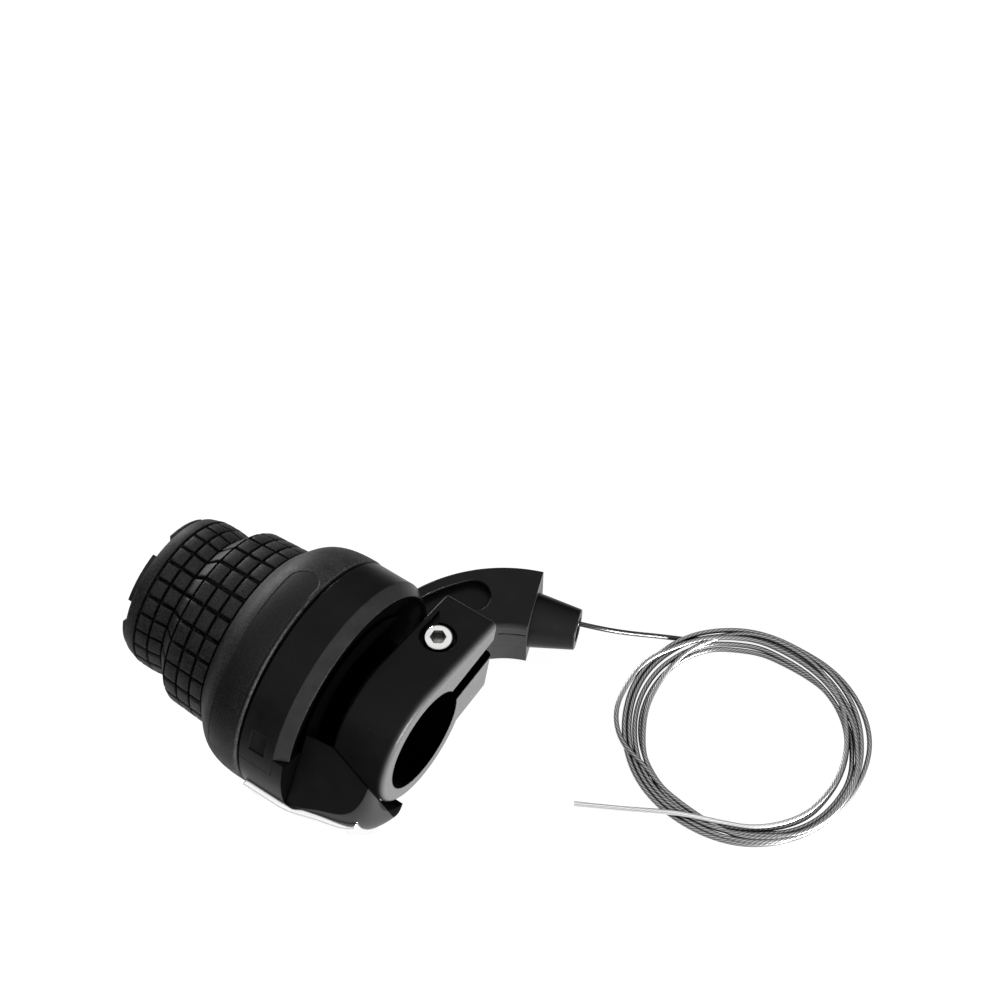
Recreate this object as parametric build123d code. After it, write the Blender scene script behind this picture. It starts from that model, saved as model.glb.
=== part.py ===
from build123d import *
import math
import os

# Twist grip shifter for a bicycle handlebar, in millimetres.
# X runs along the bar towards the clamp, Y towards the clamp lug, Z up along the clamp bolt.
# The origin is on the bar axis, midway along the clamp. Angles turn about X, from Y towards Z.

# Bar and fits
BAR_DIAMETER = 22.2
CLAMP_CLEARANCE = 0.05
RUNNING_CLEARANCE = 0.06
SLIDE_CLEARANCE = 0.12
SEAT_CLEARANCE = 0.1
BODY_GAP = 0.3
OVERCUT = 1.0

# Clamp and its lug
CLAMP_WIDTH = 12.7
CLAMP_WALL = 3.65
CLAMP_EDGE = 1.3
CLAMP_BACK_EDGE = 0.6
LUG_REACH = 26.8
JAW_SETBACK = 4.6
LUG_FALL = 11.3
LUG_BOTTOM = -9.3
LUG_CORNER = 1.4
SLOT_HEIGHT = 2.8
SLOT_WIDTH = 5.3

# Clamp bolt and nut
BOLT_X = -1.1
BOLT_INSET = 11.2
BOLT_DIAMETER = 4.0
BOLT_HEAD_DIAMETER = 6.2
BOLT_HEAD_HEIGHT = 2.6
BOLT_HEAD_ROUND = 0.6
BOLT_PROUD = 0.15
COUNTERBORE_DIAMETER = 7.8
RELIEF_LENGTH = 6.0
RELIEF_WIDTH = 2.0
RELIEF_RISE = 0.5
HEX_KEY = 3.0
HEX_DEPTH = 1.8
HEX_TURN = 34.0
NUT_WIDTH = 7.0
NUT_THICKNESS = 3.2

# Fixed ring, its well and its floor
RING_GAP = 3.75
RING_DEPTH = 8.2
RING_WIDTH = 10.7
RING_WALL = 2.2
BAND_WIDTH = 2.75
BAND_DROP = 1.8
WELL_LIP = 0.4
WELL_DEPTH = 1.3
WELL_STEP_WIDTH = 4.4
WELL_STEP = 0.9
FLOOR_THICKNESS = 1.1
NECK_WALL = 2.4
MARK_LENGTH = 3.7
MARK_WIDTH = 5.0
MARK_DEPTH = 0.35
MARK_ANGLE = 156.5

# Sleeve that the barrel turns on
SLEEVE_RELIEF = 0.25
SLEEVE_WALL = 0.9
LIP_HEIGHT = 0.6
LIP_WIDTH = 1.2
LIP_PLAY = 0.3

# Rubber grip
SEAM_GAP = 0.5
COLLAR_PROUD = 0.2
COLLAR_LENGTH = 13.25
COLLAR_ROUND = 0.8
BLOCK_COLUMNS = 6
BLOCK_ROWS = 26
BLOCK_PITCH = 3.45
RING_GROOVE = 0.5
ROW_GROOVE = 0.9
ROW_PHASE = 3.2
BLOCK_DEPTH = 0.7
RIM_BAND = 3.2
GRIP_WALL = 3.25
RIM_DROP = 0.9
VALLEY_DROP = 0.5
SHELL_WALL = 0.6
BARREL_TAPER = 0.6
RUBBER_WALL = 1.6
FLARE_AT = 0.33
FLARE_SHARE = 0.74

# Twist barrel
CASTLE_LENGTH = 1.05
CASTLE_TABS = 6
CASTLE_GAP_ANGLE = 20.0
CASTLE_PHASE = 91.0
WEB_THICKNESS = 3.0
SHELL_FRONT_WALL = 1.4
DOG_LENGTH = 2.0
DOG_ANGLE = 40.0
DOG_COUNT = 3

# Cable drum and cable
WIRE_DIAMETER = 1.2
CABLE_RADIUS = 15.0
GEARS = 7
CABLE_STEP = 2.9
WASHER_THICKNESS = 0.5
FLANGE_THICKNESS = 0.8
FLANGE_HEIGHT = 1.5
DRUM_GROOVE = 2.0
DRUM_LENGTH = 28.2
DETENT_WIDTH = 4.0
HUB_WALL = 2.5
NOTCH_DEPTH = 0.6
NOTCH_RADIUS = 0.9
HEAD_DIAMETER = 3.0
HEAD_LENGTH = 4.4
WRAP_ANGLE = 86.0

# Detent spring
SPRING_THICKNESS = 0.5
SPRING_WIDTH = 3.4
SPRING_SPAN = 10.5
SPRING_RISE = 2.3
POST_DIAMETER = 3.0
SPRING_ANGLE = 90.0

# Cable guide and ferrule
GUIDE_RADIUS = 27.55
GUIDE_START = 19.6
GUIDE_TURN = 70.0
GUIDE_WIDTH = 15.3
GUIDE_ABOVE = 6.0
GUIDE_COVER = 5.5
GUIDE_EDGE = 0.8
SPLIT_BELOW = 2.0
CHANNEL_WIDTH = 3.0
CHANNEL_ABOVE = 1.8
POCKET_RADIUS = 28.5
POCKET_WIDTH = 8.0
POCKET_DEPTH = 2.0
POCKET_FROM = 19.0
POCKET_TO = 42.0
SIDE_GROOVE = 0.35
SIDE_GROOVE_DROP = 3.0
SIDE_GROOVE_FROM = 52.0
GUIDE_SCREW_DIAMETER = 2.2
GUIDE_SCREW_HEAD = 4.4
GUIDE_SCREW_LENGTH = 10.0
GUIDE_SCREW_ANGLE = 36.0
FERRULE_BASE = 12.2
FERRULE_TIP = 9.0
FERRULE_LENGTH = 9.9
FERRULE_DROP = 1.3
FERRULE_INSET = 0.75
FERRULE_EDGE = 0.3
CASING_SOCKET = 5.6
CASING_DEPTH = 6.5
WIRE_HOLE = 4.4

# Gear indicator
POD_FROM = 170.0
POD_BAND_FROM = 160.0
POD_TO = 238.0
POD_PEAK = 136.0
POD_OVERHANG = 0.3
POD_CLAMP_GAP = 1.5
POD_FLAT_ANGLE = 150.6
POD_FLAT_DROP = 6.0
POD_BEND_LENGTH = 0.9
POD_MIDDLE_DROP = 1.9
POD_NOSE_DROP = 8.8
POD_TOP_EDGE = [(-7.7, -16.75, 11.0), (-3.0, -16.5, 11.5), (8.6, -18.8, 7.35)]
POD_DRAW = (0.32, -0.36, 0.88)
BEZEL_FROM = 189.5
BEZEL_TO = 226.0
BEZEL_HEIGHT = 1.4
BEZEL_RIM_ANGLE = 3.6
BEZEL_RIM = 1.6
BEZEL_OUT_MARGIN = 1.15
BEZEL_IN_MARGIN = 1.6
LENS_DEPTH = 1.4
LENS_PROUD = 0.7
LEDGE_ANGLE = 2.0
LEDGE = 1.2
DIAL_GAP = 1.7
DIAL_THICKNESS = 0.4
POINTER_ANGLE = 206.0
POINTER_STEP = 2.4
POINTER_OFFSET = 25.2
STEM_WIDTH = 3.0
STEM_THICKNESS = 1.0
NECK_WIDTH = 1.5
NEEDLE_WIDTH = 0.8
NEEDLE_THICKNESS = 0.5
NEEDLE_BACK = 2.6
NEEDLE_REACH = 4.4
CAM_WIDTH = 2.1
CAM_DEPTH = 1.1
CAM_MARGIN = 1.7
PIN_DIAMETER = 1.8

# Free inner cable, laid on the surface under the ring
COIL_X = 54.4
COIL_Y = 51.7
COIL_RADIUS = 23.6
COIL_WIDTH = 6.8
COIL_HEIGHT = 3.4
LEAD_POINTS = [(20.4, 51.9, -15.3), (29.6, 58.6, -18.4), (36.6, 66.2, -22.6)]
CORD_ARC_SHARE = 0.45
TAIL_POINTS = [(53.0, 25.9, -24.6), (48.2, 23.9, -25.2), (40.4, 20.5, -25.5), (32.8, 16.9, -25.5)]

# Stations along the bar
clamp_end = CLAMP_WIDTH / 2
clamp_back = -CLAMP_WIDTH / 2
ring_end = clamp_back - RING_GAP
ring_seam = ring_end - RING_WIDTH
band_start = ring_end - BAND_WIDTH
floor_face = ring_end - WELL_DEPTH
floor_back = floor_face - FLOOR_THICKNESS
drum_front = floor_back - WASHER_THICKNESS - SEAT_CLEARANCE
groove_x = drum_front - FLANGE_THICKNESS - DRUM_GROOVE / 2
flange_back = groove_x - DRUM_GROOVE / 2 - FLANGE_THICKNESS
detent_back = flange_back - DETENT_WIDTH
drum_end = drum_front - DRUM_LENGTH
web_back = drum_end - WEB_THICKNESS
rubber_front = ring_seam - SEAM_GAP
shell_front = rubber_front - SEAT_CLEARANCE
block_front = rubber_front - COLLAR_LENGTH
block_back = block_front - BLOCK_COLUMNS * BLOCK_PITCH
valley_x = block_back + 2 * BLOCK_PITCH
step_x = valley_x + BLOCK_PITCH
rim_end = block_back - RIM_BAND
barrel_end = rim_end - CASTLE_LENGTH
sleeve_end = rim_end + LIP_WIDTH - LIP_PLAY
lip_face = sleeve_end + LIP_WIDTH
pod_end = clamp_end + POD_OVERHANG
pod_bend = ring_end - POD_BEND_LENGTH
bezel_out = ring_seam + BEZEL_OUT_MARGIN
bezel_in = pod_end - BEZEL_IN_MARGIN
bolt_y = LUG_REACH - BOLT_INSET

# Radii about the bar
bore_radius = BAR_DIAMETER / 2 + CLAMP_CLEARANCE
clamp_radius = bore_radius + CLAMP_WALL
neck_radius = bore_radius + NECK_WALL
sleeve_inner = bore_radius + SLEEVE_RELIEF
sleeve_radius = sleeve_inner + SLEEVE_WALL
turning_radius = sleeve_radius + RUNNING_CLEARANCE
lip_radius = sleeve_radius + LIP_HEIGHT
hub_radius = turning_radius + HUB_WALL
wire_radius = WIRE_DIAMETER / 2
flange_radius = CABLE_RADIUS + FLANGE_HEIGHT
stem_inner = flange_radius + BODY_GAP
stem_outer = stem_inner + STEM_THICKNESS
dial_radius = stem_outer + DIAL_GAP
ring_radius = stem_outer + RING_DEPTH
ring_inner = ring_radius - RING_WALL
band_radius = ring_radius - BAND_DROP
well_radius = band_radius - WELL_LIP
well_step_radius = well_radius - WELL_STEP_WIDTH
collar_radius = ring_radius + COLLAR_PROUD
shell_inner = stem_outer + BODY_GAP
barrel_radius = shell_inner + SHELL_WALL + RUBBER_WALL
barrel_end_radius = barrel_radius + BARREL_TAPER
grip_radius = turning_radius + GRIP_WALL + RUBBER_WALL
pod_inner = clamp_radius + POD_CLAMP_GAP

# The lug's top is a flat that leaves the clamp's round as a tangent and falls towards the lug's end
lug_fall = math.radians(LUG_FALL)
crown_y = clamp_radius * math.sin(lug_fall)
crown_z = clamp_radius * math.cos(lug_fall)

# Travel of the grip and of the pointer
twist_degrees = math.degrees((GEARS - 1) * CABLE_STEP / CABLE_RADIUS)
pointer_travel = (GEARS - 1) * POINTER_STEP
pin_x = drum_end + CAM_MARGIN
needle_x = pin_x + POINTER_OFFSET

# Cable guide
guide_x = groove_x + GUIDE_RADIUS
guide_axis = Axis((guide_x, GUIDE_START, 0), (0, 0, -1))
guide_outer = GUIDE_RADIUS + GUIDE_WIDTH / 2
guide_inner = GUIDE_RADIUS - GUIDE_WIDTH / 2
guide_top = GUIDE_ABOVE - CABLE_RADIUS
guide_split = -CABLE_RADIUS - SPLIT_BELOW
guide_bottom = guide_split - GUIDE_COVER
guide_seat = math.sqrt(ring_radius ** 2 - guide_top ** 2) + SEAT_CLEARANCE
heading = math.radians(GUIDE_TURN)
guide_end = Vector(
    guide_x - GUIDE_RADIUS * math.cos(heading),
    GUIDE_START + GUIDE_RADIUS * math.sin(heading),
    -CABLE_RADIUS,
)
guide_way = Vector(math.sin(heading), math.cos(heading), 0)
cable_exit = guide_end + guide_way * FERRULE_LENGTH
floor_height = -collar_radius


def turned(points, start=0.0, arc=360.0):
    """Revolve a closed outline of (x, radius) points about the bar, from the start angle on."""
    outline = make_face(Polyline(*points, close=True))
    return Rot(X=start) * revolve(outline, Axis.X, arc)


def tube(x_from, x_to, inner, outer, start=0.0, arc=360.0):
    """A ring or ring sector about the bar."""
    return turned([(x_from, inner), (x_to, inner), (x_to, outer), (x_from, outer)], start, arc)


def slab(x_from, x_to, y_from, y_to, z_from, z_to):
    """A block given by its limits."""
    middle = ((x_from + x_to) / 2, (y_from + y_to) / 2, (z_from + z_to) / 2)
    return Pos(*middle) * Box(x_to - x_from, y_to - y_from, z_to - z_from)


def upright(x, y, z_from, z_to, diameter):
    """A round post along Z."""
    return Pos(x, y, (z_from + z_to) / 2) * Cylinder(diameter / 2, z_to - z_from)


def swept_guide(r_from, r_to, z_from, z_to, a_from=0.0, a_to=GUIDE_TURN, edge=0.0):
    """A block swept round the guide's bend, with rounded top edges where an edge radius is given."""
    plane = Plane(origin=(guide_x, GUIDE_START, 0), x_dir=(-1, 0, 0), z_dir=(0, 1, 0))
    outline = Pos((r_from + r_to) / 2, (z_from + z_to) / 2) * Rectangle(r_to - r_from, z_to - z_from)
    if edge > 0:
        outline = fillet(outline.vertices().group_by(Axis.Y)[-1], edge)
    body = revolve(plane * outline, guide_axis, a_to - a_from)
    return body.rotate(guide_axis, a_from)


def lug_height(y):
    """Height of the lug's sloping top at a place along Y."""
    return crown_z - (y - crown_y) * math.tan(lug_fall)


def clamp_block():
    """Clamp ring with its lug, before the cuts."""
    lug = [
        (0, LUG_BOTTOM), (0, 0), (crown_y, crown_z), (LUG_REACH, lug_height(LUG_REACH)),
        (LUG_REACH - JAW_SETBACK, LUG_BOTTOM),
    ]
    lug_face = make_face(Polyline(*lug, close=True))
    lug_face = fillet(lug_face.vertices().sort_by(Axis.X)[-2:], LUG_CORNER)
    outline = Plane.YZ.offset(clamp_back) * (Circle(clamp_radius) + lug_face)
    block = extrude(outline, CLAMP_WIDTH)
    block = fillet(block.faces().sort_by(Axis.X)[-1].outer_wire().edges(), CLAMP_EDGE)
    return fillet(block.faces().sort_by(Axis.X)[0].outer_wire().edges(), CLAMP_BACK_EDGE)


def fixed_ring():
    """Ring, well, floor, neck and sleeve turned as one outline."""
    return turned([
        (ring_seam, ring_radius), (band_start, ring_radius), (ring_end, band_radius), (ring_end, well_radius),
        (floor_face, well_radius), (floor_face, well_step_radius), (floor_face + WELL_STEP, well_step_radius),
        (floor_face + WELL_STEP, neck_radius), (clamp_back, neck_radius), (clamp_back, sleeve_inner),
        (sleeve_end, sleeve_inner), (sleeve_end, lip_radius), (lip_face, lip_radius),
        (lip_face, sleeve_radius), (floor_back, sleeve_radius), (floor_back, ring_inner),
        (ring_seam, ring_inner),
    ])


def clamp_housing():
    clamp = clamp_block()
    reach = guide_seat - GUIDE_START
    spigot_out = max(ring_seam, guide_x - math.sqrt(guide_outer ** 2 - reach ** 2))
    spigot = slab(spigot_out, ring_end, 0, guide_seat, guide_bottom, guide_top)
    spigot -= tube(spigot_out - OVERCUT, ring_end + OVERCUT, 0, ring_radius - RING_WALL / 2)
    post = Rot(Y=90) * Cylinder(POST_DIAMETER / 2, floor_back - detent_back)
    post_x = (floor_back + detent_back) / 2
    posts = [Pos(post_x, side * SPRING_SPAN, spring_height()) * post for side in (-1, 1)]
    body = clamp + fixed_ring() + spigot + posts
    bore = tube(clamp_back - OVERCUT, clamp_end + OVERCUT, 0, bore_radius)
    slot = slab(
        clamp_back, clamp_end, 0, LUG_REACH + OVERCUT,
        SLOT_HEIGHT - SLOT_WIDTH / 2, SLOT_HEIGHT + SLOT_WIDTH / 2,
    )
    bolt_hole = upright(BOLT_X, bolt_y, LUG_BOTTOM, crown_z, BOLT_DIAMETER + 2 * SEAT_CLEARANCE)
    counterbore = upright(BOLT_X, bolt_y, bolt_seat(), crown_z + OVERCUT, COUNTERBORE_DIAMETER)
    half_nut = NUT_WIDTH / 2 + SEAT_CLEARANCE
    nut_pocket = slab(
        BOLT_X - half_nut, BOLT_X + half_nut, bolt_y - half_nut, bolt_y + half_nut,
        LUG_BOTTOM - OVERCUT, LUG_BOTTOM + NUT_THICKNESS,
    )
    gap_inner = stem_inner - SEAT_CLEARANCE
    gap_outer = ring_radius + OVERCUT
    pod_gap = tube(ring_seam - OVERCUT, ring_end + OVERCUT, gap_inner, gap_outer, POD_FROM, POD_TO - POD_FROM)
    band_arc = POD_TO - POD_BAND_FROM
    band_gap = tube(band_start, ring_end + OVERCUT, gap_inner, gap_outer, POD_BAND_FROM, band_arc)
    cable_way = Rot(X=90) * Cylinder(CHANNEL_WIDTH / 2, guide_seat)
    cable_way = Pos(groove_x, guide_seat / 2, -CABLE_RADIUS) * cable_way
    mark_x = (ring_seam + band_start) / 2
    mark = Rot(X=MARK_ANGLE) * slab(
        mark_x - MARK_LENGTH / 2, mark_x + MARK_LENGTH / 2, ring_radius - MARK_DEPTH, ring_radius + OVERCUT,
        -MARK_WIDTH / 2, MARK_WIDTH / 2,
    )
    body = body - bore - slot - bolt_hole - counterbore - key_relief() - nut_pocket
    return body - pod_gap - band_gap - cable_way - mark


def key_relief():
    """Wedge beside the bolt head that lets a hex key in from the lug's end."""
    edge = BOLT_X - COUNTERBORE_DIAMETER / 2
    wedge = [
        (edge, bolt_y), (edge, bolt_y + RELIEF_LENGTH),
        (edge + RELIEF_WIDTH, bolt_y + RELIEF_LENGTH / 2), (edge + RELIEF_WIDTH, bolt_y),
    ]
    outline = Plane.XY.offset(bolt_seat() + RELIEF_RISE) * make_face(Polyline(*wedge, close=True))
    return extrude(outline, crown_z)


def bolt_seat():
    """Height of the face that the bolt head bears on."""
    return lug_height(bolt_y) + BOLT_PROUD - BOLT_HEAD_HEIGHT


def clamp_bolt():
    head = upright(BOLT_X, bolt_y, bolt_seat(), bolt_seat() + BOLT_HEAD_HEIGHT, BOLT_HEAD_DIAMETER)
    head = fillet(head.edges().sort_by(Axis.Z)[-1], BOLT_HEAD_ROUND)
    shank = upright(BOLT_X, bolt_y, LUG_BOTTOM, bolt_seat(), BOLT_DIAMETER)
    top = Plane((BOLT_X, bolt_y, bolt_seat() + BOLT_HEAD_HEIGHT))
    hexagon = Rot(Z=HEX_TURN) * RegularPolygon(HEX_KEY / 2, 6, major_radius=False)
    socket = extrude(top * hexagon, -HEX_DEPTH)
    return head + shank - socket


def clamp_nut():
    block = slab(
        BOLT_X - NUT_WIDTH / 2, BOLT_X + NUT_WIDTH / 2, bolt_y - NUT_WIDTH / 2, bolt_y + NUT_WIDTH / 2,
        LUG_BOTTOM, LUG_BOTTOM + NUT_THICKNESS,
    )
    thread = upright(
        BOLT_X, bolt_y, LUG_BOTTOM, LUG_BOTTOM + NUT_THICKNESS, BOLT_DIAMETER + 2 * RUNNING_CLEARANCE)
    return block - thread


def rubber_outline():
    """Outer line of the rubber, from the rim at the bar's end to the seam."""
    return [
        (rim_end, grip_radius - RIM_DROP), (block_back, grip_radius), (valley_x - BLOCK_PITCH, grip_radius),
        (valley_x, grip_radius - VALLEY_DROP), (step_x, barrel_radius), (block_front, barrel_end_radius),
    ]


def barrel_outline():
    """Outer line of the hard barrel, which the rubber is moulded on."""
    return [(x, radius - RUBBER_WALL) for x, radius in rubber_outline()[1:]]


def collar_front_radius():
    """Outer radius of the barrel's mouth, under the rubber collar."""
    return collar_radius - RING_WALL


def grip_rubber():
    collar = collar_radius - barrel_end_radius
    lower = barrel_outline()
    outer = Polyline(*rubber_outline())
    flare = Spline(
        (block_front, barrel_end_radius),
        (block_front + FLARE_AT * COLLAR_LENGTH, barrel_end_radius + FLARE_SHARE * collar),
        (rubber_front - COLLAR_ROUND, collar_radius),
        tangents=[(1, 1), (1, 0)],
    )
    front_radius = collar_radius - COLLAR_ROUND
    edge = TangentArc(flare @ 1, (rubber_front, front_radius), tangent=(1, 0))
    mouth = collar_front_radius()
    inner = Polyline((rubber_front, mouth), (shell_front, mouth), *reversed(lower), (rim_end, lower[0][1]))
    end = Line((rim_end, lower[0][1]), (rim_end, grip_radius - RIM_DROP))
    front = Line((rubber_front, front_radius), (rubber_front, mouth))
    body = revolve(make_face([*outer.edges(), flare, edge, front, *inner.edges(), end]), Axis.X)
    # Grooves round the grip stand at each column's edge, grooves along it at each row's edge
    for column in range(BLOCK_COLUMNS + 1):
        body -= ring_groove(block_back + column * BLOCK_PITCH)
    lane = [(x, radius - BLOCK_DEPTH) for x, radius in rubber_outline()[1:]]
    lane += [(x, radius + 2 * BLOCK_DEPTH) for x, radius in reversed(rubber_outline()[1:])]
    cutter = extrude(make_face(Polyline(*lane, close=True)), ROW_GROOVE / 2, both=True)
    return body - [Rot(X=ROW_PHASE + row * 360 / BLOCK_ROWS) * cutter for row in range(BLOCK_ROWS)]


def ring_groove(x):
    """Groove round the grip at one station."""
    points = rubber_outline()
    for (x_a, r_a), (x_b, r_b) in zip(points, points[1:]):
        if x_a <= x <= x_b + RING_GROOVE:
            radius = r_a + (r_b - r_a) * (x - x_a) / (x_b - x_a)
    return tube(x - RING_GROOVE / 2, x + RING_GROOVE / 2, radius - BLOCK_DEPTH, radius + 2 * BLOCK_DEPTH)


def twist_barrel():
    outer = barrel_outline()
    castle_radius = outer[0][1]
    mouth = collar_front_radius()
    counterbore = lip_radius + BODY_GAP
    body = turned([
        (barrel_end, counterbore), (barrel_end, castle_radius), *outer, (shell_front, mouth),
        (shell_front, mouth - SHELL_FRONT_WALL), (block_front, shell_inner), (drum_end, shell_inner),
        (drum_end, turning_radius), (lip_face + LIP_PLAY, turning_radius), (lip_face + LIP_PLAY, counterbore),
    ])
    for tab in range(CASTLE_TABS):
        start = CASTLE_PHASE + tab * 360 / CASTLE_TABS - CASTLE_GAP_ANGLE / 2
        body -= tube(barrel_end - OVERCUT, rim_end, 0, castle_radius + OVERCUT, start, CASTLE_GAP_ANGLE)
    return body - drive_dogs(SEAT_CLEARANCE)


def drive_dogs(clearance=0.0):
    """Tabs on the drum's end that turn with the barrel, grown by a clearance for their slots."""
    spread = math.degrees(clearance / hub_radius)
    return [
        tube(
            drum_end - DOG_LENGTH - clearance, drum_end, turning_radius - clearance, hub_radius + clearance,
            dog * 360 / DOG_COUNT - spread, DOG_ANGLE + 2 * spread,
        )
        for dog in range(DOG_COUNT)
    ]


def cable_drum():
    groove_bottom = CABLE_RADIUS - wire_radius - RUNNING_CLEARANCE
    groove_back = groove_x - DRUM_GROOVE / 2
    groove_front = groove_x + DRUM_GROOVE / 2
    body = turned([
        (drum_front, turning_radius), (drum_front, flange_radius), (groove_front, flange_radius),
        (groove_front, groove_bottom), (groove_back, groove_bottom), (groove_back, flange_radius),
        (detent_back, flange_radius), (detent_back, hub_radius), (drum_end, hub_radius),
        (drum_end, turning_radius),
    ])
    body += drive_dogs()
    # One notch for each gear, on the rim that the spring bears on
    notch_x = (flange_back + detent_back) / 2
    notch_ring = flange_radius + NOTCH_RADIUS - NOTCH_DEPTH
    for gear in range(GEARS):
        angle = SPRING_ANGLE + gear * twist_degrees / (GEARS - 1)
        notch = Pos(notch_x, notch_ring, 0) * Rot(Y=90) * Cylinder(NOTCH_RADIUS, DETENT_WIDTH)
        body -= Rot(X=angle) * notch
    return body - head_pocket() - cam_groove()


def head_pocket():
    """Pocket for the cable's head, open to the rim so that the cable can be changed."""
    half = HEAD_DIAMETER / 2 + SEAT_CLEARANCE
    return slab(
        groove_x - half, groove_x + half, -flange_radius - OVERCUT, -CABLE_RADIUS + half,
        -SEAT_CLEARANCE, HEAD_LENGTH + SEAT_CLEARANCE,
    )


def cam_groove():
    """Helical groove in the hub, which moves the pointer along the bar as the drum turns."""
    pitch = pointer_travel * 360 / twist_degrees
    path = Helix(pitch, pointer_travel, hub_radius, center=(pin_x, 0, 0), direction=(1, 0, 0))
    begin = path @ 0
    outward = Vector(0, begin.Y, begin.Z)
    section = Plane(origin=begin, x_dir=outward, z_dir=path % 0) * Rectangle(2 * CAM_DEPTH, CAM_WIDTH)
    groove = sweep(section, path=path, is_frenet=True)
    groove = Rot(X=POINTER_ANGLE - math.degrees(math.atan2(begin.Z, begin.Y))) * groove
    ends = Pos(0, hub_radius, 0) * Rot(X=90) * Cylinder(CAM_WIDTH / 2, 2 * CAM_DEPTH)
    first = Rot(X=POINTER_ANGLE) * Pos(pin_x, 0, 0) * ends
    last = Rot(X=POINTER_ANGLE + twist_degrees) * Pos(pin_x + pointer_travel, 0, 0) * ends
    return [groove, first, last]


def cable_head():
    return upright(groove_x, -CABLE_RADIUS, 0, HEAD_LENGTH, HEAD_DIAMETER)


def wrapped_wire():
    """Cable in the drum's groove, from its head down to where it leaves the drum."""
    ring = Pos(groove_x, CABLE_RADIUS) * Circle(wire_radius)
    return Rot(X=180) * revolve(ring, Axis.X, WRAP_ANGLE)


def inner_wire():
    """Cable from the drum through the guide and the ferrule."""
    start = Vector(groove_x, wire_radius, -CABLE_RADIUS)
    bend = Vector(groove_x, GUIDE_START, -CABLE_RADIUS)
    run = Line(start, bend)
    arc = RadiusArc(bend, guide_end, GUIDE_RADIUS)
    way_out = Line(guide_end, cable_exit)
    path = Wire([run, arc, way_out])
    return sweep(Plane(origin=start, z_dir=path % 0) * Circle(wire_radius), path=path)


def barrel_washer():
    return tube(floor_back - WASHER_THICKNESS, floor_back, turning_radius, flange_radius)


def spring_height():
    """Height of the posts that hold the spring's ends down on the drum."""
    return flange_radius + SEAT_CLEARANCE + SPRING_RISE + SPRING_THICKNESS + POST_DIAMETER / 2


def detent_spring():
    """Leaf held at both ends, with a nose over the notches."""
    nose = flange_radius + SEAT_CLEARANCE
    half_nose = 2 * NOTCH_RADIUS
    shoulder = nose + SPRING_RISE
    lower = [
        (-SPRING_SPAN, shoulder), (-half_nose, nose + NOTCH_RADIUS), (0, nose),
        (half_nose, nose + NOTCH_RADIUS), (SPRING_SPAN, shoulder),
    ]
    upper = [(y, z + SPRING_THICKNESS) for y, z in reversed(lower)]
    leaf_x = (flange_back + detent_back - SPRING_WIDTH) / 2
    return extrude(Plane.YZ.offset(leaf_x) * make_face(Polyline(*lower, *upper, close=True)), SPRING_WIDTH)


def behind_seat():
    """Space inboard of the guide's seat, which the guide leaves to the ring."""
    far = guide_outer + GUIDE_WIDTH
    return slab(
        guide_x - far, guide_x + far, GUIDE_START - far, guide_seat,
        guide_bottom - OVERCUT, guide_top + OVERCUT,
    )


def cable_guide():
    body = swept_guide(guide_inner, guide_outer, guide_split, guide_top, edge=GUIDE_EDGE)
    half = CHANNEL_WIDTH / 2
    body -= swept_guide(GUIDE_RADIUS - half, GUIDE_RADIUS + half, guide_split, CHANNEL_ABOVE - CABLE_RADIUS)
    # Hollow in the top, with a round end towards the ferrule
    pocket = POCKET_WIDTH / 2
    pocket_floor = guide_top - POCKET_DEPTH
    body -= swept_guide(
        POCKET_RADIUS - pocket, POCKET_RADIUS + pocket, pocket_floor, guide_top + OVERCUT,
        POCKET_FROM, POCKET_TO,
    )
    turn = math.radians(POCKET_TO)
    pocket_x = guide_x - POCKET_RADIUS * math.cos(turn)
    pocket_y = GUIDE_START + POCKET_RADIUS * math.sin(turn)
    body -= upright(pocket_x, pocket_y, pocket_floor, guide_top + OVERCUT, POCKET_WIDTH)
    line = guide_top - SIDE_GROOVE_DROP
    body -= swept_guide(
        guide_inner - OVERCUT, guide_inner + SIDE_GROOVE, line - SIDE_GROOVE, line,
        SIDE_GROOVE_FROM, GUIDE_TURN,
    )
    return body - behind_seat() - guide_screw(SEAT_CLEARANCE)


def guide_cover():
    body = swept_guide(guide_inner, guide_outer, guide_bottom, guide_split)
    return body - behind_seat() - guide_screw(SEAT_CLEARANCE)


def guide_screw(clearance=0.0):
    """Countersunk screw from below, grown by a clearance for its hole."""
    angle = math.radians(GUIDE_SCREW_ANGLE)
    reach = GUIDE_RADIUS + (CHANNEL_WIDTH + GUIDE_WIDTH) / 4
    x = guide_x - reach * math.cos(angle)
    y = GUIDE_START + reach * math.sin(angle)
    shank = GUIDE_SCREW_DIAMETER / 2 + clearance
    head = GUIDE_SCREW_HEAD / 2 + clearance
    cone = Pos(x, y, guide_bottom) * Cone(
        head, shank, head - shank, align=(Align.CENTER, Align.CENTER, Align.MIN))
    return cone + upright(x, y, guide_bottom, guide_bottom + GUIDE_SCREW_LENGTH + clearance, 2 * shank)


def casing_ferrule():
    inward = Vector(guide_way.Y, -guide_way.X, 0)
    centre = guide_end + inward * FERRULE_INSET - Vector(0, 0, FERRULE_DROP)
    seat = Plane(origin=centre, z_dir=guide_way)
    low = (Align.CENTER, Align.CENTER, Align.MIN)
    high = (Align.CENTER, Align.CENTER, Align.MAX)
    cone = Cone(FERRULE_BASE / 2, FERRULE_TIP / 2, FERRULE_LENGTH, align=low)
    cone = fillet(cone.edges().sort_by(Axis.Z)[-1], FERRULE_EDGE)
    socket = Pos(0, 0, FERRULE_LENGTH) * Cylinder(CASING_SOCKET / 2, CASING_DEPTH, align=high)
    hole = Cylinder(WIRE_HOLE / 2, FERRULE_LENGTH, align=low)
    return seat * (cone - socket - hole)


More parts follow.
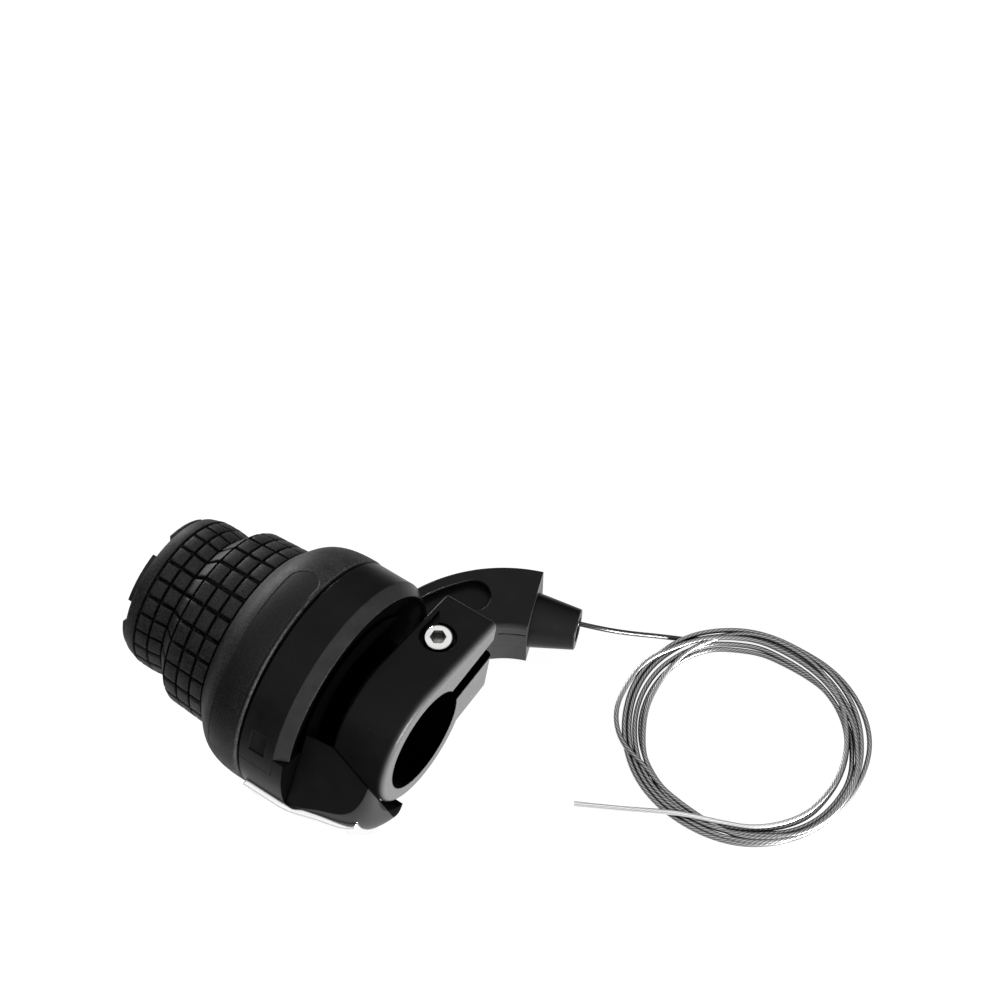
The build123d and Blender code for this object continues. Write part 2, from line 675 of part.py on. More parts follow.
def under_pod(offset, start, stop):
    """Space between the bar and the pod's outer face moved out by an offset, between two angles."""
    radius = ring_radius + offset
    middle_x = (pod_bend + pod_end) / 2
    nose_radius = radius - POD_NOSE_DROP
    top = Line((ring_seam + SEAT_CLEARANCE, radius), (pod_bend, radius))
    bend = Spline(
        (pod_bend, radius), (middle_x, radius - POD_MIDDLE_DROP), (pod_end, nose_radius),
        tangents=[(1, 0), (0, -1)],
    )
    low = Polyline(
        (pod_end, nose_radius), (pod_end, pod_inner), (ring_seam + SEAT_CLEARANCE, pod_inner),
        (ring_seam + SEAT_CLEARANCE, radius),
    )
    return Rot(X=start) * revolve(make_face([top, bend, *low.edges()]), Axis.X, stop - start)


def between(x_from, x_to):
    """Everything between two stations along the bar."""
    reach = 2 * ring_radius
    return slab(x_from, x_to, -reach, reach, -reach, reach)


def lens_space(grow_x=0.0, grow_angle=0.0, low=-LENS_DEPTH, high=LENS_PROUD):
    """The window's space in the pod, shrunk or grown for what fits in it."""
    start = BEZEL_FROM + BEZEL_RIM_ANGLE - grow_angle
    stop = BEZEL_TO - BEZEL_RIM_ANGLE + grow_angle
    solid = under_pod(high, start, stop) - under_pod(low, start - OVERCUT, stop + OVERCUT)
    return solid & between(bezel_out + BEZEL_RIM - grow_x, bezel_in - BEZEL_RIM + grow_x)


def indicator_pod():
    body = under_pod(0, POD_PEAK, POD_TO)
    spread = math.degrees(SEAT_CLEARANCE / ring_inner)
    # In the ring the pod only fills the ring's gap, and keeps clear of the drum
    reach = 2 * ring_radius
    ring_out = ring_seam - OVERCUT
    low = POD_PEAK - OVERCUT
    body -= tube(ring_out, band_start + SEAT_CLEARANCE, 0, reach, low, POD_FROM + spread - low)
    body -= tube(ring_out, ring_end, 0, reach, low, POD_BAND_FROM + spread - low)
    body -= tube(ring_out, ring_end, 0, reach, POD_TO - spread, spread + OVERCUT)
    body -= tube(ring_out, ring_end + SEAT_CLEARANCE, 0, stem_inner)
    # Flat flank above the bezel, then the edge that falls from the peak to the nose along the clamp
    flat = ring_radius - POD_FLAT_DROP
    body -= Rot(X=POD_FLAT_ANGLE) * slab(ring_end, pod_end + OVERCUT, flat, reach, -reach, reach)
    for start, stop in zip(POD_TOP_EDGE, POD_TOP_EDGE[1:]):
        along = Vector(*stop) - Vector(*start)
        above = Plane(origin=start, x_dir=along, z_dir=Vector(*POD_DRAW).cross(along))
        body -= above * slab(-reach, along.length, -reach, reach, 0, reach)
    # Window seat, chamber and the slot that the pointer slides in
    body -= lens_space(high=BEZEL_HEIGHT)
    chamber = lens_space(-LEDGE, -LEDGE_ANGLE, low=dial_radius - ring_radius - OVERCUT, high=0)
    body -= chamber - tube(ring_out, pod_end + OVERCUT, 0, dial_radius)
    runway = between(ring_out, bezel_in)
    half_stem = STEM_WIDTH / 2 + SLIDE_CLEARANCE
    half_neck = NECK_WIDTH / 2 + SLIDE_CLEARANCE
    stem_way = slab(-reach, reach, 0, stem_outer + SLIDE_CLEARANCE, -half_stem, half_stem)
    neck_way = slab(-reach, reach, 0, dial_radius + OVERCUT, -half_neck, half_neck)
    return body - ((Rot(X=POINTER_ANGLE) * (stem_way + neck_way)) & runway)


def indicator_lens():
    return lens_space(-SEAT_CLEARANCE, -math.degrees(SEAT_CLEARANCE / ring_radius))


def indicator_bezel():
    frame = under_pod(BEZEL_HEIGHT, BEZEL_FROM, BEZEL_TO)
    frame -= under_pod(0, BEZEL_FROM - OVERCUT, BEZEL_TO + OVERCUT)
    frame = frame & between(bezel_out, bezel_in)
    return frame - lens_space(low=-LENS_DEPTH, high=2 * BEZEL_HEIGHT)


def indicator_dial():
    start = BEZEL_FROM + BEZEL_RIM_ANGLE + LEDGE_ANGLE
    stop = BEZEL_TO - BEZEL_RIM_ANGLE - LEDGE_ANGLE
    edge = BEZEL_RIM + LEDGE + SEAT_CLEARANCE
    card = tube(
        bezel_out + edge, bezel_in - edge, dial_radius, dial_radius + DIAL_THICKNESS, start, stop - start)
    half_neck = NECK_WIDTH / 2 + SLIDE_CLEARANCE
    half_run = STEM_WIDTH / 2 + BODY_GAP
    slot = slab(
        needle_x - half_run, needle_x + pointer_travel + half_run, 0, ring_radius, -half_neck, half_neck)
    return card - Rot(X=POINTER_ANGLE) * slot


def indicator_pointer():
    """Slide with a pin in the drum's cam, a stem along the bar and a needle in front of the dial."""
    half_stem = STEM_WIDTH / 2
    half_neck = NECK_WIDTH / 2
    stem = slab(drum_end + BODY_GAP, needle_x + half_stem, stem_inner, stem_outer, -half_stem, half_stem)
    pin_foot = hub_radius - CAM_DEPTH + BODY_GAP
    pin = Rot(X=90) * Cylinder(PIN_DIAMETER / 2, stem_inner - pin_foot)
    pin = Pos(pin_x, (pin_foot + stem_inner) / 2, 0) * pin
    needle_low = dial_radius + DIAL_THICKNESS + BODY_GAP
    neck = slab(needle_x - half_stem, needle_x + half_stem, stem_outer, needle_low, -half_neck, half_neck)
    needle = slab(
        needle_x - NEEDLE_WIDTH / 2, needle_x + NEEDLE_WIDTH / 2, needle_low, needle_low + NEEDLE_THICKNESS,
        -NEEDLE_BACK, NEEDLE_REACH,
    )
    return Rot(X=POINTER_ANGLE) * (stem + pin + neck + needle)


def cord_tube(points):
    """Round tube along straight runs with the largest arcs that the runs leave room for."""
    route = [Vector(*point) for point in points]
    radii = []
    for before, corner, after in zip(route, route[1:], route[2:]):
        turn = math.radians((corner - before).get_angle(after - corner))
        shorter = min((corner - before).length, (after - corner).length)
        radii.append(CORD_ARC_SHARE * shorter / math.tan(turn / 2))
    path = FilletPolyline(*route, radius=radii)
    body = sweep(Plane(origin=route[0], z_dir=path % 0) * Circle(wire_radius), path=path)
    section = math.pi * wire_radius ** 2
    print("tube radii", [round(radius, 1) for radius in radii], "length", round(path.length, 2))
    print("  volume against section times length", round(body.volume / (section * path.length), 4))
    return body


def cable_lead():
    return cord_tube([tuple(cable_exit), *LEAD_POINTS])


def cable_coil():
    """Outer shape of the coiled turns, lying on the surface."""
    section = Pos(COIL_RADIUS, COIL_HEIGHT / 2) * RectangleRounded(COIL_WIDTH, COIL_HEIGHT, COIL_HEIGHT / 3)
    return Pos(COIL_X, COIL_Y, floor_height) * revolve(Plane.XZ * section, Axis.Z)


def cable_tail():
    return cord_tube(TAIL_POINTS)


PARTS = [
    clamp_housing, clamp_bolt, clamp_nut, grip_rubber, twist_barrel, cable_drum, cable_head, wrapped_wire,
    inner_wire, barrel_washer, detent_spring, cable_guide, guide_cover, guide_screw, casing_ferrule,
    indicator_pod, indicator_lens, indicator_bezel, indicator_dial, indicator_pointer, cable_lead, cable_coil,
    cable_tail,
]

os.makedirs("parts", exist_ok=True)
for make in PARTS:
    solid = make()
    export_step(solid, f"parts/{make.__name__}.step")
print("twist", round(twist_degrees, 2), "degrees, pointer travel", round(pointer_travel, 2), "mm")
print("cable exit", [round(value, 2) for value in cable_exit], "floor", round(floor_height, 2))
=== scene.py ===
# %% [markdown]
# # A twist grip shifter, dressed for its portrait
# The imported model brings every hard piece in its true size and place, in metres. This lesson keeps those
# solids and gives each a finish. It builds two pieces again whose looks depend on soft edges, the ribbed
# rubber as a mesh and the bare cable as a curve, and it prints the numbers on the dial.

# %% Load the frame
import math

import bmesh
import bpy
from mathutils import Matrix, Vector, geometry


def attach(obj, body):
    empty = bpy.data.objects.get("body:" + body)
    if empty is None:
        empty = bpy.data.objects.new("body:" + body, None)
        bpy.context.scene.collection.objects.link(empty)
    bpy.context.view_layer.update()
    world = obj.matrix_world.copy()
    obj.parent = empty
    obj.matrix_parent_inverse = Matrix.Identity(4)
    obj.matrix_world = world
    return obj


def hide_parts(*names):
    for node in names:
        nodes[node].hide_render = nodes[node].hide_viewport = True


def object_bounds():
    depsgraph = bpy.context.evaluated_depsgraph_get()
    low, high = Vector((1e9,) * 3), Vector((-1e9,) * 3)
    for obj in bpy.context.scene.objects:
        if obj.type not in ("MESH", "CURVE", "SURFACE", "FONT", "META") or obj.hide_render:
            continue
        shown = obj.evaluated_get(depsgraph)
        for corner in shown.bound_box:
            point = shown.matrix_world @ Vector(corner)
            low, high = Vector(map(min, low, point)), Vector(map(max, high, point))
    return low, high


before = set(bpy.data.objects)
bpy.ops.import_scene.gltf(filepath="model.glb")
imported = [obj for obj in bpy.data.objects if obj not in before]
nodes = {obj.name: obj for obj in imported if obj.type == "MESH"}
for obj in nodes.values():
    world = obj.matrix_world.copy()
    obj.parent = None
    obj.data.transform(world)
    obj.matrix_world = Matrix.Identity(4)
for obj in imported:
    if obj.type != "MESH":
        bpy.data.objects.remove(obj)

CAD_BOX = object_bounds()
MM = 0.001

# %% [markdown]
# ## Camera
# The clamp bore is a circle of a known size, so its ellipse in the photograph gives the direction that
# the camera looks along, and the circles further along the grip give its distance. The camera stands
# about 55 degrees above the table, and an 80 mm lens on a 36 mm sensor sees the photograph's square. A
# constraint could aim it, but the fit gives its place and its axes as numbers, so they go straight into
# its matrix.

# %% Place the camera
CAMERA_AT = Vector((137.11, -172.21, 397.92)) * MM
CAMERA_RIGHT = Vector((0.82701, 0.56211, 0.00982))
CAMERA_UP = Vector((-0.467, 0.67715, 0.56867))
CAMERA_LENS = 80.0
CAMERA_SENSOR = 36.0
CAMERA_NEAR = 0.01

camera_data = bpy.data.cameras.new("camera")
camera_data.lens = CAMERA_LENS
camera_data.sensor_width = CAMERA_SENSOR
camera_data.clip_start = CAMERA_NEAR
camera = bpy.data.objects.new("camera", camera_data)
camera_turn = Matrix((CAMERA_RIGHT, CAMERA_UP, CAMERA_RIGHT.cross(CAMERA_UP))).transposed()
camera.matrix_world = Matrix.Translation(CAMERA_AT) @ camera_turn.to_4x4()
bpy.context.collection.objects.link(camera)
bpy.context.scene.camera = camera
bpy.context.scene.view_settings.view_transform = "Standard"
print("camera at", [round(value, 3) for value in CAMERA_AT])

# %% [markdown]
# ## Table
# The photograph is a cut-out on white. The table is one plain square under the lowest point of the
# collar. A curved studio sweep would do as well, but this camera looks down and sees no horizon, so a
# plane is enough.

# %% Lay the table
FLOOR_HEIGHT = CAD_BOX[0][2]
FLOOR_HALF = 3.0
FLOOR_GAP = 0.00002


def finish_new_mesh(name, bm):
    """Turn a bmesh into an object at the origin."""
    mesh = bpy.data.meshes.new(name)
    bm.to_mesh(mesh)
    bm.free()
    piece = bpy.data.objects.new(name, mesh)
    bpy.context.collection.objects.link(piece)
    return piece


floor_shape = bmesh.new()
bmesh.ops.create_grid(floor_shape, x_segments=1, y_segments=1, size=FLOOR_HALF)
bmesh.ops.translate(floor_shape, verts=floor_shape.verts, vec=(0, 0, FLOOR_HEIGHT - FLOOR_GAP))
floor = finish_new_mesh("table", floor_shape)
print("table at", round(FLOOR_HEIGHT, 4))

# %% [markdown]
# ## The table's white
# White paper would come out grey under the lamps. To the camera, and in reflections, the table therefore
# glows white, and the part that it reflects from the lamps is small, so only a faint shadow is left on
# it. In glossy reflections the glow fades with distance. Faces that point along the bar mirror the white
# table close by, which is why they look grey on a black plastic, while flanks that mirror the far room
# stay dark.

# %% Make the light helpers
def feed(tree, given, socket):
    """Link a socket to another one, or give it a plain value."""
    if isinstance(given, bpy.types.NodeSocket):
        tree.links.new(given, socket)
    else:
        socket.default_value = given


def map_range(tree, value, start=0.0, stop=1.0, low=0.0, high=1.0, kind="LINEAR"):
    """A value that goes from low to high while another goes from start to stop."""
    scale = tree.nodes.new("ShaderNodeMapRange")
    scale.interpolation_type = kind
    for label, given in (("From Min", start), ("From Max", stop), ("To Min", low), ("To Max", high)):
        scale.inputs[label].default_value = given
    tree.links.new(value, scale.inputs["Value"])
    return scale.outputs["Result"]


def length_of(tree, vector):
    """The length of a vector."""
    measure = tree.nodes.new("ShaderNodeVectorMath")
    measure.operation = "LENGTH"
    tree.links.new(vector, measure.inputs[0])
    return measure.outputs["Value"]


def paper(tree, level):
    """A plain matt paper."""
    matt = tree.nodes.new("ShaderNodeBsdfDiffuse")
    matt.inputs["Color"].default_value = (level, level, level, 1)
    return matt.outputs[0]


def white_light(tree, kind, strength):
    """A white Emission or Background, its strength a number or a socket."""
    light = tree.nodes.new(kind)
    light.inputs["Color"].default_value = (1, 1, 1, 1)
    feed(tree, strength, light.inputs["Strength"])
    return light.outputs[0]


def shown_to(tree, ray_kind, elsewhere, seen):
    """One shader for a kind of ray and another for all the rest."""
    rays = tree.nodes.new("ShaderNodeLightPath")
    chooser = tree.nodes.new("ShaderNodeMixShader")
    tree.links.new(rays.outputs[ray_kind], chooser.inputs["Fac"])
    tree.links.new(elsewhere, chooser.inputs[1])
    tree.links.new(seen, chooser.inputs[2])
    return chooser.outputs[0]


print("light helpers ready")

# %% Paint the table
PAPER_SEEN = 0.3
PAPER_LIT = 0.8
GLOW = 0.93
GLOW_NEAR = 0.05
GLOW_FAR = 0.16
GLOW_LOWEST = 0.06

floor_paint = bpy.data.materials.new("table_white")
floor_paint.use_nodes = True
floor_tree = floor_paint.node_tree
floor_tree.nodes.clear()
floor_place = floor_tree.nodes.new("ShaderNodeTexCoord")
floor_away = length_of(floor_tree, floor_place.outputs["Object"])
fade = map_range(floor_tree, floor_away, GLOW_NEAR, GLOW_FAR, 1.0, GLOW_LOWEST)
white = floor_tree.nodes.new("ShaderNodeAddShader")
floor_tree.links.new(paper(floor_tree, PAPER_SEEN), white.inputs[0])
floor_tree.links.new(white_light(floor_tree, "ShaderNodeEmission", GLOW), white.inputs[1])
floor_skin = paper(floor_tree, PAPER_LIT)
for ray_kind, seen in (
        ("Is Glossy Ray", white_light(floor_tree, "ShaderNodeEmission", fade)),
        ("Is Transmission Ray", white_light(floor_tree, "ShaderNodeEmission", GLOW)),
        ("Is Camera Ray", white.outputs[0])):
    floor_skin = shown_to(floor_tree, ray_kind, floor_skin, seen)
floor_output = floor_tree.nodes.new("ShaderNodeOutputMaterial")
floor_tree.links.new(floor_skin, floor_output.inputs["Surface"])
floor.data.materials.append(floor_paint)
print("painted", floor.name)

# %% [markdown]
# ## Room
# The room lights the shifter evenly from all sides, and the camera sees it as a white backdrop.
# Reflections get a sky of their own, dark at the horizon and white overhead, so that black plastic keeps
# dark flanks under a lit top. A studio picture could give the same light, but a smooth rise from one
# level to another is easier to set.

# %% Light the room
WORLD_LEVEL = 0.35
BACKDROP_LEVEL = 1.0
SKY_LOW = 0.06
SKY_HIGH = 1.0
SKY_RISE_FROM = 0.15
SKY_RISE_TO = 0.88

world = bpy.data.worlds.new("room")
world.use_nodes = True
world_tree = world.node_tree
world_tree.nodes.clear()
sky_place = world_tree.nodes.new("ShaderNodeTexCoord")
sky_axes = world_tree.nodes.new("ShaderNodeSeparateXYZ")
world_tree.links.new(sky_place.outputs["Generated"], sky_axes.inputs["Vector"])
sky_level = map_range(
    world_tree, sky_axes.outputs["Z"], SKY_RISE_FROM, SKY_RISE_TO, SKY_LOW, SKY_HIGH, "SMOOTHSTEP")
room, sky, backdrop = [
    white_light(world_tree, "ShaderNodeBackground", level)
    for level in (WORLD_LEVEL, sky_level, BACKDROP_LEVEL)]
mirrored_room = shown_to(world_tree, "Is Glossy Ray", room, sky)
seen_room = shown_to(world_tree, "Is Camera Ray", mirrored_room, backdrop)
world_output = world_tree.nodes.new("ShaderNodeOutputWorld")
world_tree.links.new(seen_room, world_output.inputs["Surface"])
bpy.context.scene.world = world
print("world", world.name, "at", WORLD_LEVEL)

# %% [markdown]
# ## Lamps
# Two wide, flat lamps stand just above the table. The first faces the clamp and lights the surfaces that
# look along the bar. It is stronger than a plain lamp, because the photograph shows black plastic at a
# middle grey there. The weak one, from behind the grip, gives the far rim its edge. Spot lamps would
# leave hard shadows, so both are area lamps.

# %% Set the lamps
# Each lamp: place, target, width, height, power
LAMPS = {
    "low_right": ((0.93, -0.06, 0.015), (0.0, 0.02, -0.01), 0.5, 0.07, 40.0),
    "rim": ((-0.80, 0.42, 0.04), (-0.03, 0.0, 0.0), 0.5, 0.12, 4.5),
}
for lamp_name, (stand, target, width, height, power) in LAMPS.items():
    lamp_data = bpy.data.lights.new(lamp_name, "AREA")
    lamp_data.shape = "RECTANGLE"
    lamp_data.size = width
    lamp_data.size_y = height
    lamp_data.energy = power
    lamp = bpy.data.objects.new(lamp_name, lamp_data)
    way = Vector(target) - Vector(stand)
    lamp.matrix_world = Matrix.Translation(stand) @ way.to_track_quat("-Z", "Y").to_matrix().to_4x4()
    bpy.context.collection.objects.link(lamp)
print("lamps", list(LAMPS))

# %% [markdown]
# ## Shared effects
# Moulded plastic and rubber are never quite even: the tool's surface leaves a fine grain, and the skin's
# gloss wanders over a few millimetres. A picture of a skin would need a UV map on every solid. One node
# group makes both from noise on the piece's own coordinates, so that every finish can use them with its
# own sizes.

# %% Build the grain group
GRAIN_SCALE = 4000.0
MOTTLE_SCALE = 200.0
GRAIN_DETAIL = 2.0
MOTTLE_DETAIL = 4.0
MOTTLE_ROUGHNESS = 0.6
MOTTLE_FROM = 0.3
MOTTLE_TO = 0.7


def new_group(name, inputs, outputs):
    """A shader node group. Inputs have default numbers, or None for a vector, and outputs are numbers."""
    group = bpy.data.node_groups.new(name, "ShaderNodeTree")
    for label, value in inputs.items():
        kind = "NodeSocketVector" if value is None else "NodeSocketFloat"
        socket = group.interface.new_socket(label, in_out="INPUT", socket_type=kind)
        if value is not None:
            socket.default_value = value
    for label in outputs:
        group.interface.new_socket(label, in_out="OUTPUT", socket_type="NodeSocketFloat")
    return group, group.nodes.new("NodeGroupInput"), group.nodes.new("NodeGroupOutput")


grain_group, grain_in, grain_out = new_group(
    "moulded_grain", {"Vector": None, "Grain Scale": GRAIN_SCALE, "Mottle Scale": MOTTLE_SCALE},
    ["Height", "Mottle"])
grain = grain_group.nodes.new("ShaderNodeTexNoise")
grain.inputs["Detail"].default_value = GRAIN_DETAIL
mottle = grain_group.nodes.new("ShaderNodeTexNoise")
mottle.inputs["Detail"].default_value = MOTTLE_DETAIL
mottle.inputs["Roughness"].default_value = MOTTLE_ROUGHNESS
for noise, scale_name in ((grain, "Grain Scale"), (mottle, "Mottle Scale")):
    grain_group.links.new(grain_in.outputs["Vector"], noise.inputs["Vector"])
    grain_group.links.new(grain_in.outputs[scale_name], noise.inputs["Scale"])
spread = map_range(grain_group, mottle.outputs["Fac"], MOTTLE_FROM, MOTTLE_TO)
grain_group.links.new(grain.outputs["Fac"], grain_out.inputs["Height"])
grain_group.links.new(spread, grain_out.inputs["Mottle"])
print("group", grain_group.name)

# %% [markdown]
# ## Painted light and shade on the housing
# In the photograph the clamp's end is paler than the rest, and the bar bore, the split of the clamp, the
# well beside it, the pod's step beside the ring and its edge along the clamp are nearly black. Here the
# end gets a paler colour as painted light, for the light that falls on it from the side, and the dark
# places get painted shade: a near-black, dull metallic skin that reflects almost nothing. The cause
# can't be seen, so a paler skin and a dull black film stand for it. The solids keep their meshes, so no
# face can be given a second material. A group tells these zones by the distance from the bar's axis, the
# place along it and the depth under the plane that the pod's edge lies in.

# %% Make the measuring helpers
def figure(tree, operation, *given):
    """A Math node on sockets or plain numbers."""
    node = tree.nodes.new("ShaderNodeMath")
    node.operation = operation
    for socket, value in zip(node.inputs, given):
        feed(tree, value, socket)
    return node.outputs[0]


def below(tree, measure, limit, soft):
    """One where a measure is under a limit, fading to nought over a soft edge."""
    return map_range(tree, measure, (limit + soft) * MM, (limit - soft) * MM)


def above(tree, measure, limit, soft):
    """One where a measure is over a limit, fading to nought over a soft edge."""
    return map_range(tree, measure, (limit - soft) * MM, (limit + soft) * MM)


def away_from(tree, measure, place):
    """How far a measure is from a place, to either side."""
    return figure(tree, "ABSOLUTE", figure(tree, "SUBTRACT", measure, place * MM))


print("measuring helpers ready")

# %% Build the zone group
CLAMP_HALF = 6.35
# Limit and soft edge of each measure, in millimetres
BORE_RADIUS = (11.3, 0.1)
WELL_RADIUS = (24.15, 0.04)
WELL_MOUTH = (-CLAMP_HALF - 0.3, 0.2)
SPLIT_HALF = (2.7, 0.05)
SPLIT_START = (10.0, 0.5)
SPLIT_FRONT = (CLAMP_HALF - 0.15, 0.1)
END_START = (CLAMP_HALF - 0.4, 0.4)
STEP_HALF = (0.2, 0.05)
JOINT_DEPTH = (0.3, 0.08)
# Where the split and the step lie, and the plane of the pod's edge
SPLIT_MIDDLE = 2.8
STEP_PLACE = -10.1
JOINT_WAY = (0.2805, 0.9199, 0.2743)
JOINT_PLACE = -12.865

zone_group, zone_in, zone_out = new_group("painted_light_zones", {"Vector": None}, ["Hollow", "End", "Painted Step Shade"])
zone_axes = zone_group.nodes.new("ShaderNodeSeparateXYZ")
zone_group.links.new(zone_in.outputs["Vector"], zone_axes.inputs["Vector"])
along, across, up = zone_axes.outputs
flat = zone_group.nodes.new("ShaderNodeCombineXYZ")
zone_group.links.new(across, flat.inputs["Y"])
zone_group.links.new(up, flat.inputs["Z"])
radius = length_of(zone_group, flat.outputs["Vector"])

# Painted shade in the bar bore, the well and the split of the clamp
in_bore = below(zone_group, radius, *BORE_RADIUS)
behind = below(zone_group, along, *WELL_MOUTH)
in_well = figure(zone_group, "MULTIPLY", behind, below(zone_group, radius, *WELL_RADIUS))
off_split = away_from(zone_group, up, SPLIT_MIDDLE)
past_bar = above(zone_group, across, *SPLIT_START)
split_height = figure(zone_group, "MULTIPLY", below(zone_group, off_split, *SPLIT_HALF), past_bar)
in_split = figure(zone_group, "MULTIPLY", split_height, below(zone_group, along, *SPLIT_FRONT))
painted_shade = figure(zone_group, "MAXIMUM", figure(zone_group, "MAXIMUM", in_bore, in_well), in_split)
# Painted light: the clamp's end face is made paler
painted_end_light = figure(zone_group, "SUBTRACT", above(zone_group, along, *END_START), in_bore)

# Painted shade along the pod's edge beside the clamp and its step beside the ring
toward_joint = zone_group.nodes.new("ShaderNodeVectorMath")
toward_joint.operation = "DOT_PRODUCT"
toward_joint.inputs[1].default_value = JOINT_WAY
zone_group.links.new(zone_in.outputs["Vector"], toward_joint.inputs[0])
under_joint = figure(zone_group, "SUBTRACT", JOINT_PLACE * MM, toward_joint.outputs["Value"])
at_joint = below(zone_group, under_joint, *JOINT_DEPTH)
at_step = below(zone_group, away_from(zone_group, along, STEP_PLACE), *STEP_HALF)
painted_step_shade = figure(zone_group, "MAXIMUM", at_step, at_joint)
for label, zone in (("Hollow", painted_shade), ("End", painted_end_light), ("Painted Step Shade", painted_step_shade)):
    zone_group.links.new(zone, zone_out.inputs[label])
print("group", zone_group.name)

# %% [markdown]
# ## Moulded finishes
# Nearly everything on the shifter is black nylon or rubber. Each finish is one Principled shader: two
# close shades mixed by the mottle, a roughness that follows it, and a bump from the grain. A Bevel node
# rounds the shading at the solids' sharp edges, which gives the thin lit lines that moulded edges have.
# It leaves the mesh as it is, where a Bevel modifier would change it. An occlusion node paints shade
# into the grooves and hollows by darkening the colour there.

# %% Make the finish helpers
EDGE_ROUND = 0.3 * MM
EDGE_SAMPLES = 4
GRAIN_HEIGHT = 0.05 * MM
HOLLOW_DEPTH = 1.5 * MM
HOLLOW_SAMPLES = 6
HOLLOW_LOWEST = 0.25
OPEN_FROM = 0.35
OPEN_TO = 0.85


def new_finish(name):
    """An empty Principled material, its tree and its shader."""
    finish = bpy.data.materials.new(name)
    finish.use_nodes = True
    return finish, finish.node_tree, finish.node_tree.nodes["Principled BSDF"]


def group_on(tree, group, **settings):
    """A node group on the piece's own coordinates, its settings named as its sockets are."""
    place = tree.nodes.new("ShaderNodeTexCoord")
    node = tree.nodes.new("ShaderNodeGroup")
    node.node_tree = group
    for label, value in settings.items():
        node.inputs[label.replace("_", " ")].default_value = value
    tree.links.new(place.outputs["Object"], node.inputs["Vector"])
    return node


def mixed(tree, factor, first, second):
    """A colour that goes over into another with a factor, each a shade or a socket."""
    mix = tree.nodes.new("ShaderNodeMix")
    mix.data_type = "RGBA"
    tree.links.new(factor, mix.inputs["Factor"])
    for label, given in (("A", first), ("B", second)):
        feed(tree, (*given, 1) if isinstance(given, tuple) else given, mix.inputs[label])
    return mix.outputs["Result"]


def scaled(tree, colour, share):
    """A colour made darker or lighter by a share."""
    node = tree.nodes.new("ShaderNodeVectorMath")
    node.operation = "SCALE"
    tree.links.new(colour, node.inputs[0])
    tree.links.new(share, node.inputs["Scale"])
    return node.outputs["Vector"]


def with_painted_occlusion(tree, colour, depth, lowest=HOLLOW_LOWEST):
    """A colour with painted shade, darker in hollows up to a depth by an occlusion node."""
    painted_shade = tree.nodes.new("ShaderNodeAmbientOcclusion")
    painted_shade.samples = HOLLOW_SAMPLES
    painted_shade.inputs["Distance"].default_value = depth
    return scaled(tree, colour, map_range(tree, painted_shade.outputs["AO"], OPEN_FROM, OPEN_TO, lowest))


def grain_normal(tree, height, strength, edge=EDGE_ROUND):
    """Bump from the grain, on edges that are rounded in shading."""
    bump = tree.nodes.new("ShaderNodeBump")
    bump.inputs["Strength"].default_value = strength
    bump.inputs["Distance"].default_value = GRAIN_HEIGHT
    tree.links.new(height, bump.inputs["Height"])
    if edge:
        bevel = tree.nodes.new("ShaderNodeBevel")
        bevel.samples = EDGE_SAMPLES
        bevel.inputs["Radius"].default_value = edge
        tree.links.new(bevel.outputs["Normal"], bump.inputs["Normal"])
    return bump.outputs["Normal"]


print("finish helpers ready")

# %% Make the finish makers
METAL_SPECULAR = 0.5
METAL_EDGE = 0.15 * MM
METAL_GRAIN_SCALE = 3000.0
METAL_MOTTLE_SCALE = 400.0


def moulded(
        name, dark, light, rough, specular, strength, grain_scale=GRAIN_SCALE, mottle_scale=MOTTLE_SCALE,
        edge=EDGE_ROUND, depth=HOLLOW_DEPTH, lowest=HOLLOW_LOWEST):
    """A moulded plastic finish."""
    finish, tree, shader = new_finish(name)
    skin = group_on(tree, grain_group, Grain_Scale=grain_scale, Mottle_Scale=mottle_scale)
    mottled = skin.outputs["Mottle"]
    colour = mixed(tree, mottled, dark, light)
    tree.links.new(with_painted_occlusion(tree, colour, depth, lowest), shader.inputs["Base Color"])
    tree.links.new(map_range(tree, mottled, 0.0, 1.0, *rough), shader.inputs["Roughness"])
    tree.links.new(grain_normal(tree, skin.outputs["Height"], strength, edge), shader.inputs["Normal"])
    shader.inputs["Specular IOR Level"].default_value = specular
    return finish


def metal(name, dark, light, rough, strength, edge=METAL_EDGE, depth=HOLLOW_DEPTH, lowest=HOLLOW_LOWEST):
    """A plated or drawn metal finish."""
    finish = moulded(
        name, dark, light, rough, METAL_SPECULAR, strength, METAL_GRAIN_SCALE, METAL_MOTTLE_SCALE,
        edge, depth, lowest)
    finish.node_tree.nodes["Principled BSDF"].inputs["Metallic"].default_value = 1.0
    return finish


def with_painted_zones(finish, painted_shade_zone, painted_shade_colour, painted_end_colour=None):
    """Paint shade into a zone as near-black dull metal, and paint light onto the paler end if given."""
    tree = finish.node_tree
    shader = tree.nodes["Principled BSDF"]
    zones = group_on(tree, zone_group)
    skin = shader.inputs["Base Color"].links[0].from_socket
    if painted_end_colour:
        skin = mixed(tree, zones.outputs["End"], skin, painted_end_colour)
    painted_shade_mask = zones.outputs[painted_shade_zone]
    tree.links.new(mixed(tree, painted_shade_mask, skin, painted_shade_colour), shader.inputs["Base Color"])
    gloss = shader.inputs["Roughness"].links[0].from_socket
    tree.links.new(figure(tree, "MAXIMUM", gloss, painted_shade_mask), shader.inputs["Roughness"])
    tree.links.new(painted_shade_mask, shader.inputs["Metallic"])
    return finish


print("finish makers ready")

# %% [markdown]
# ## Shades
# The nylons are all black, but the photograph shows one moulding lighter than another, so each has its
# own pair of shades. The drum, the washer, the dial's card and the pointer can't be seen in it, and
# their colours are usual ones. The small hard parts are plated or drawn metal. A table keeps the
# finishes side by side, where one shade is easy to weigh against another.

# %% Mix the finishes
NYLON_ROUGH = (0.26, 0.34)
NYLON_SPECULAR = 0.09
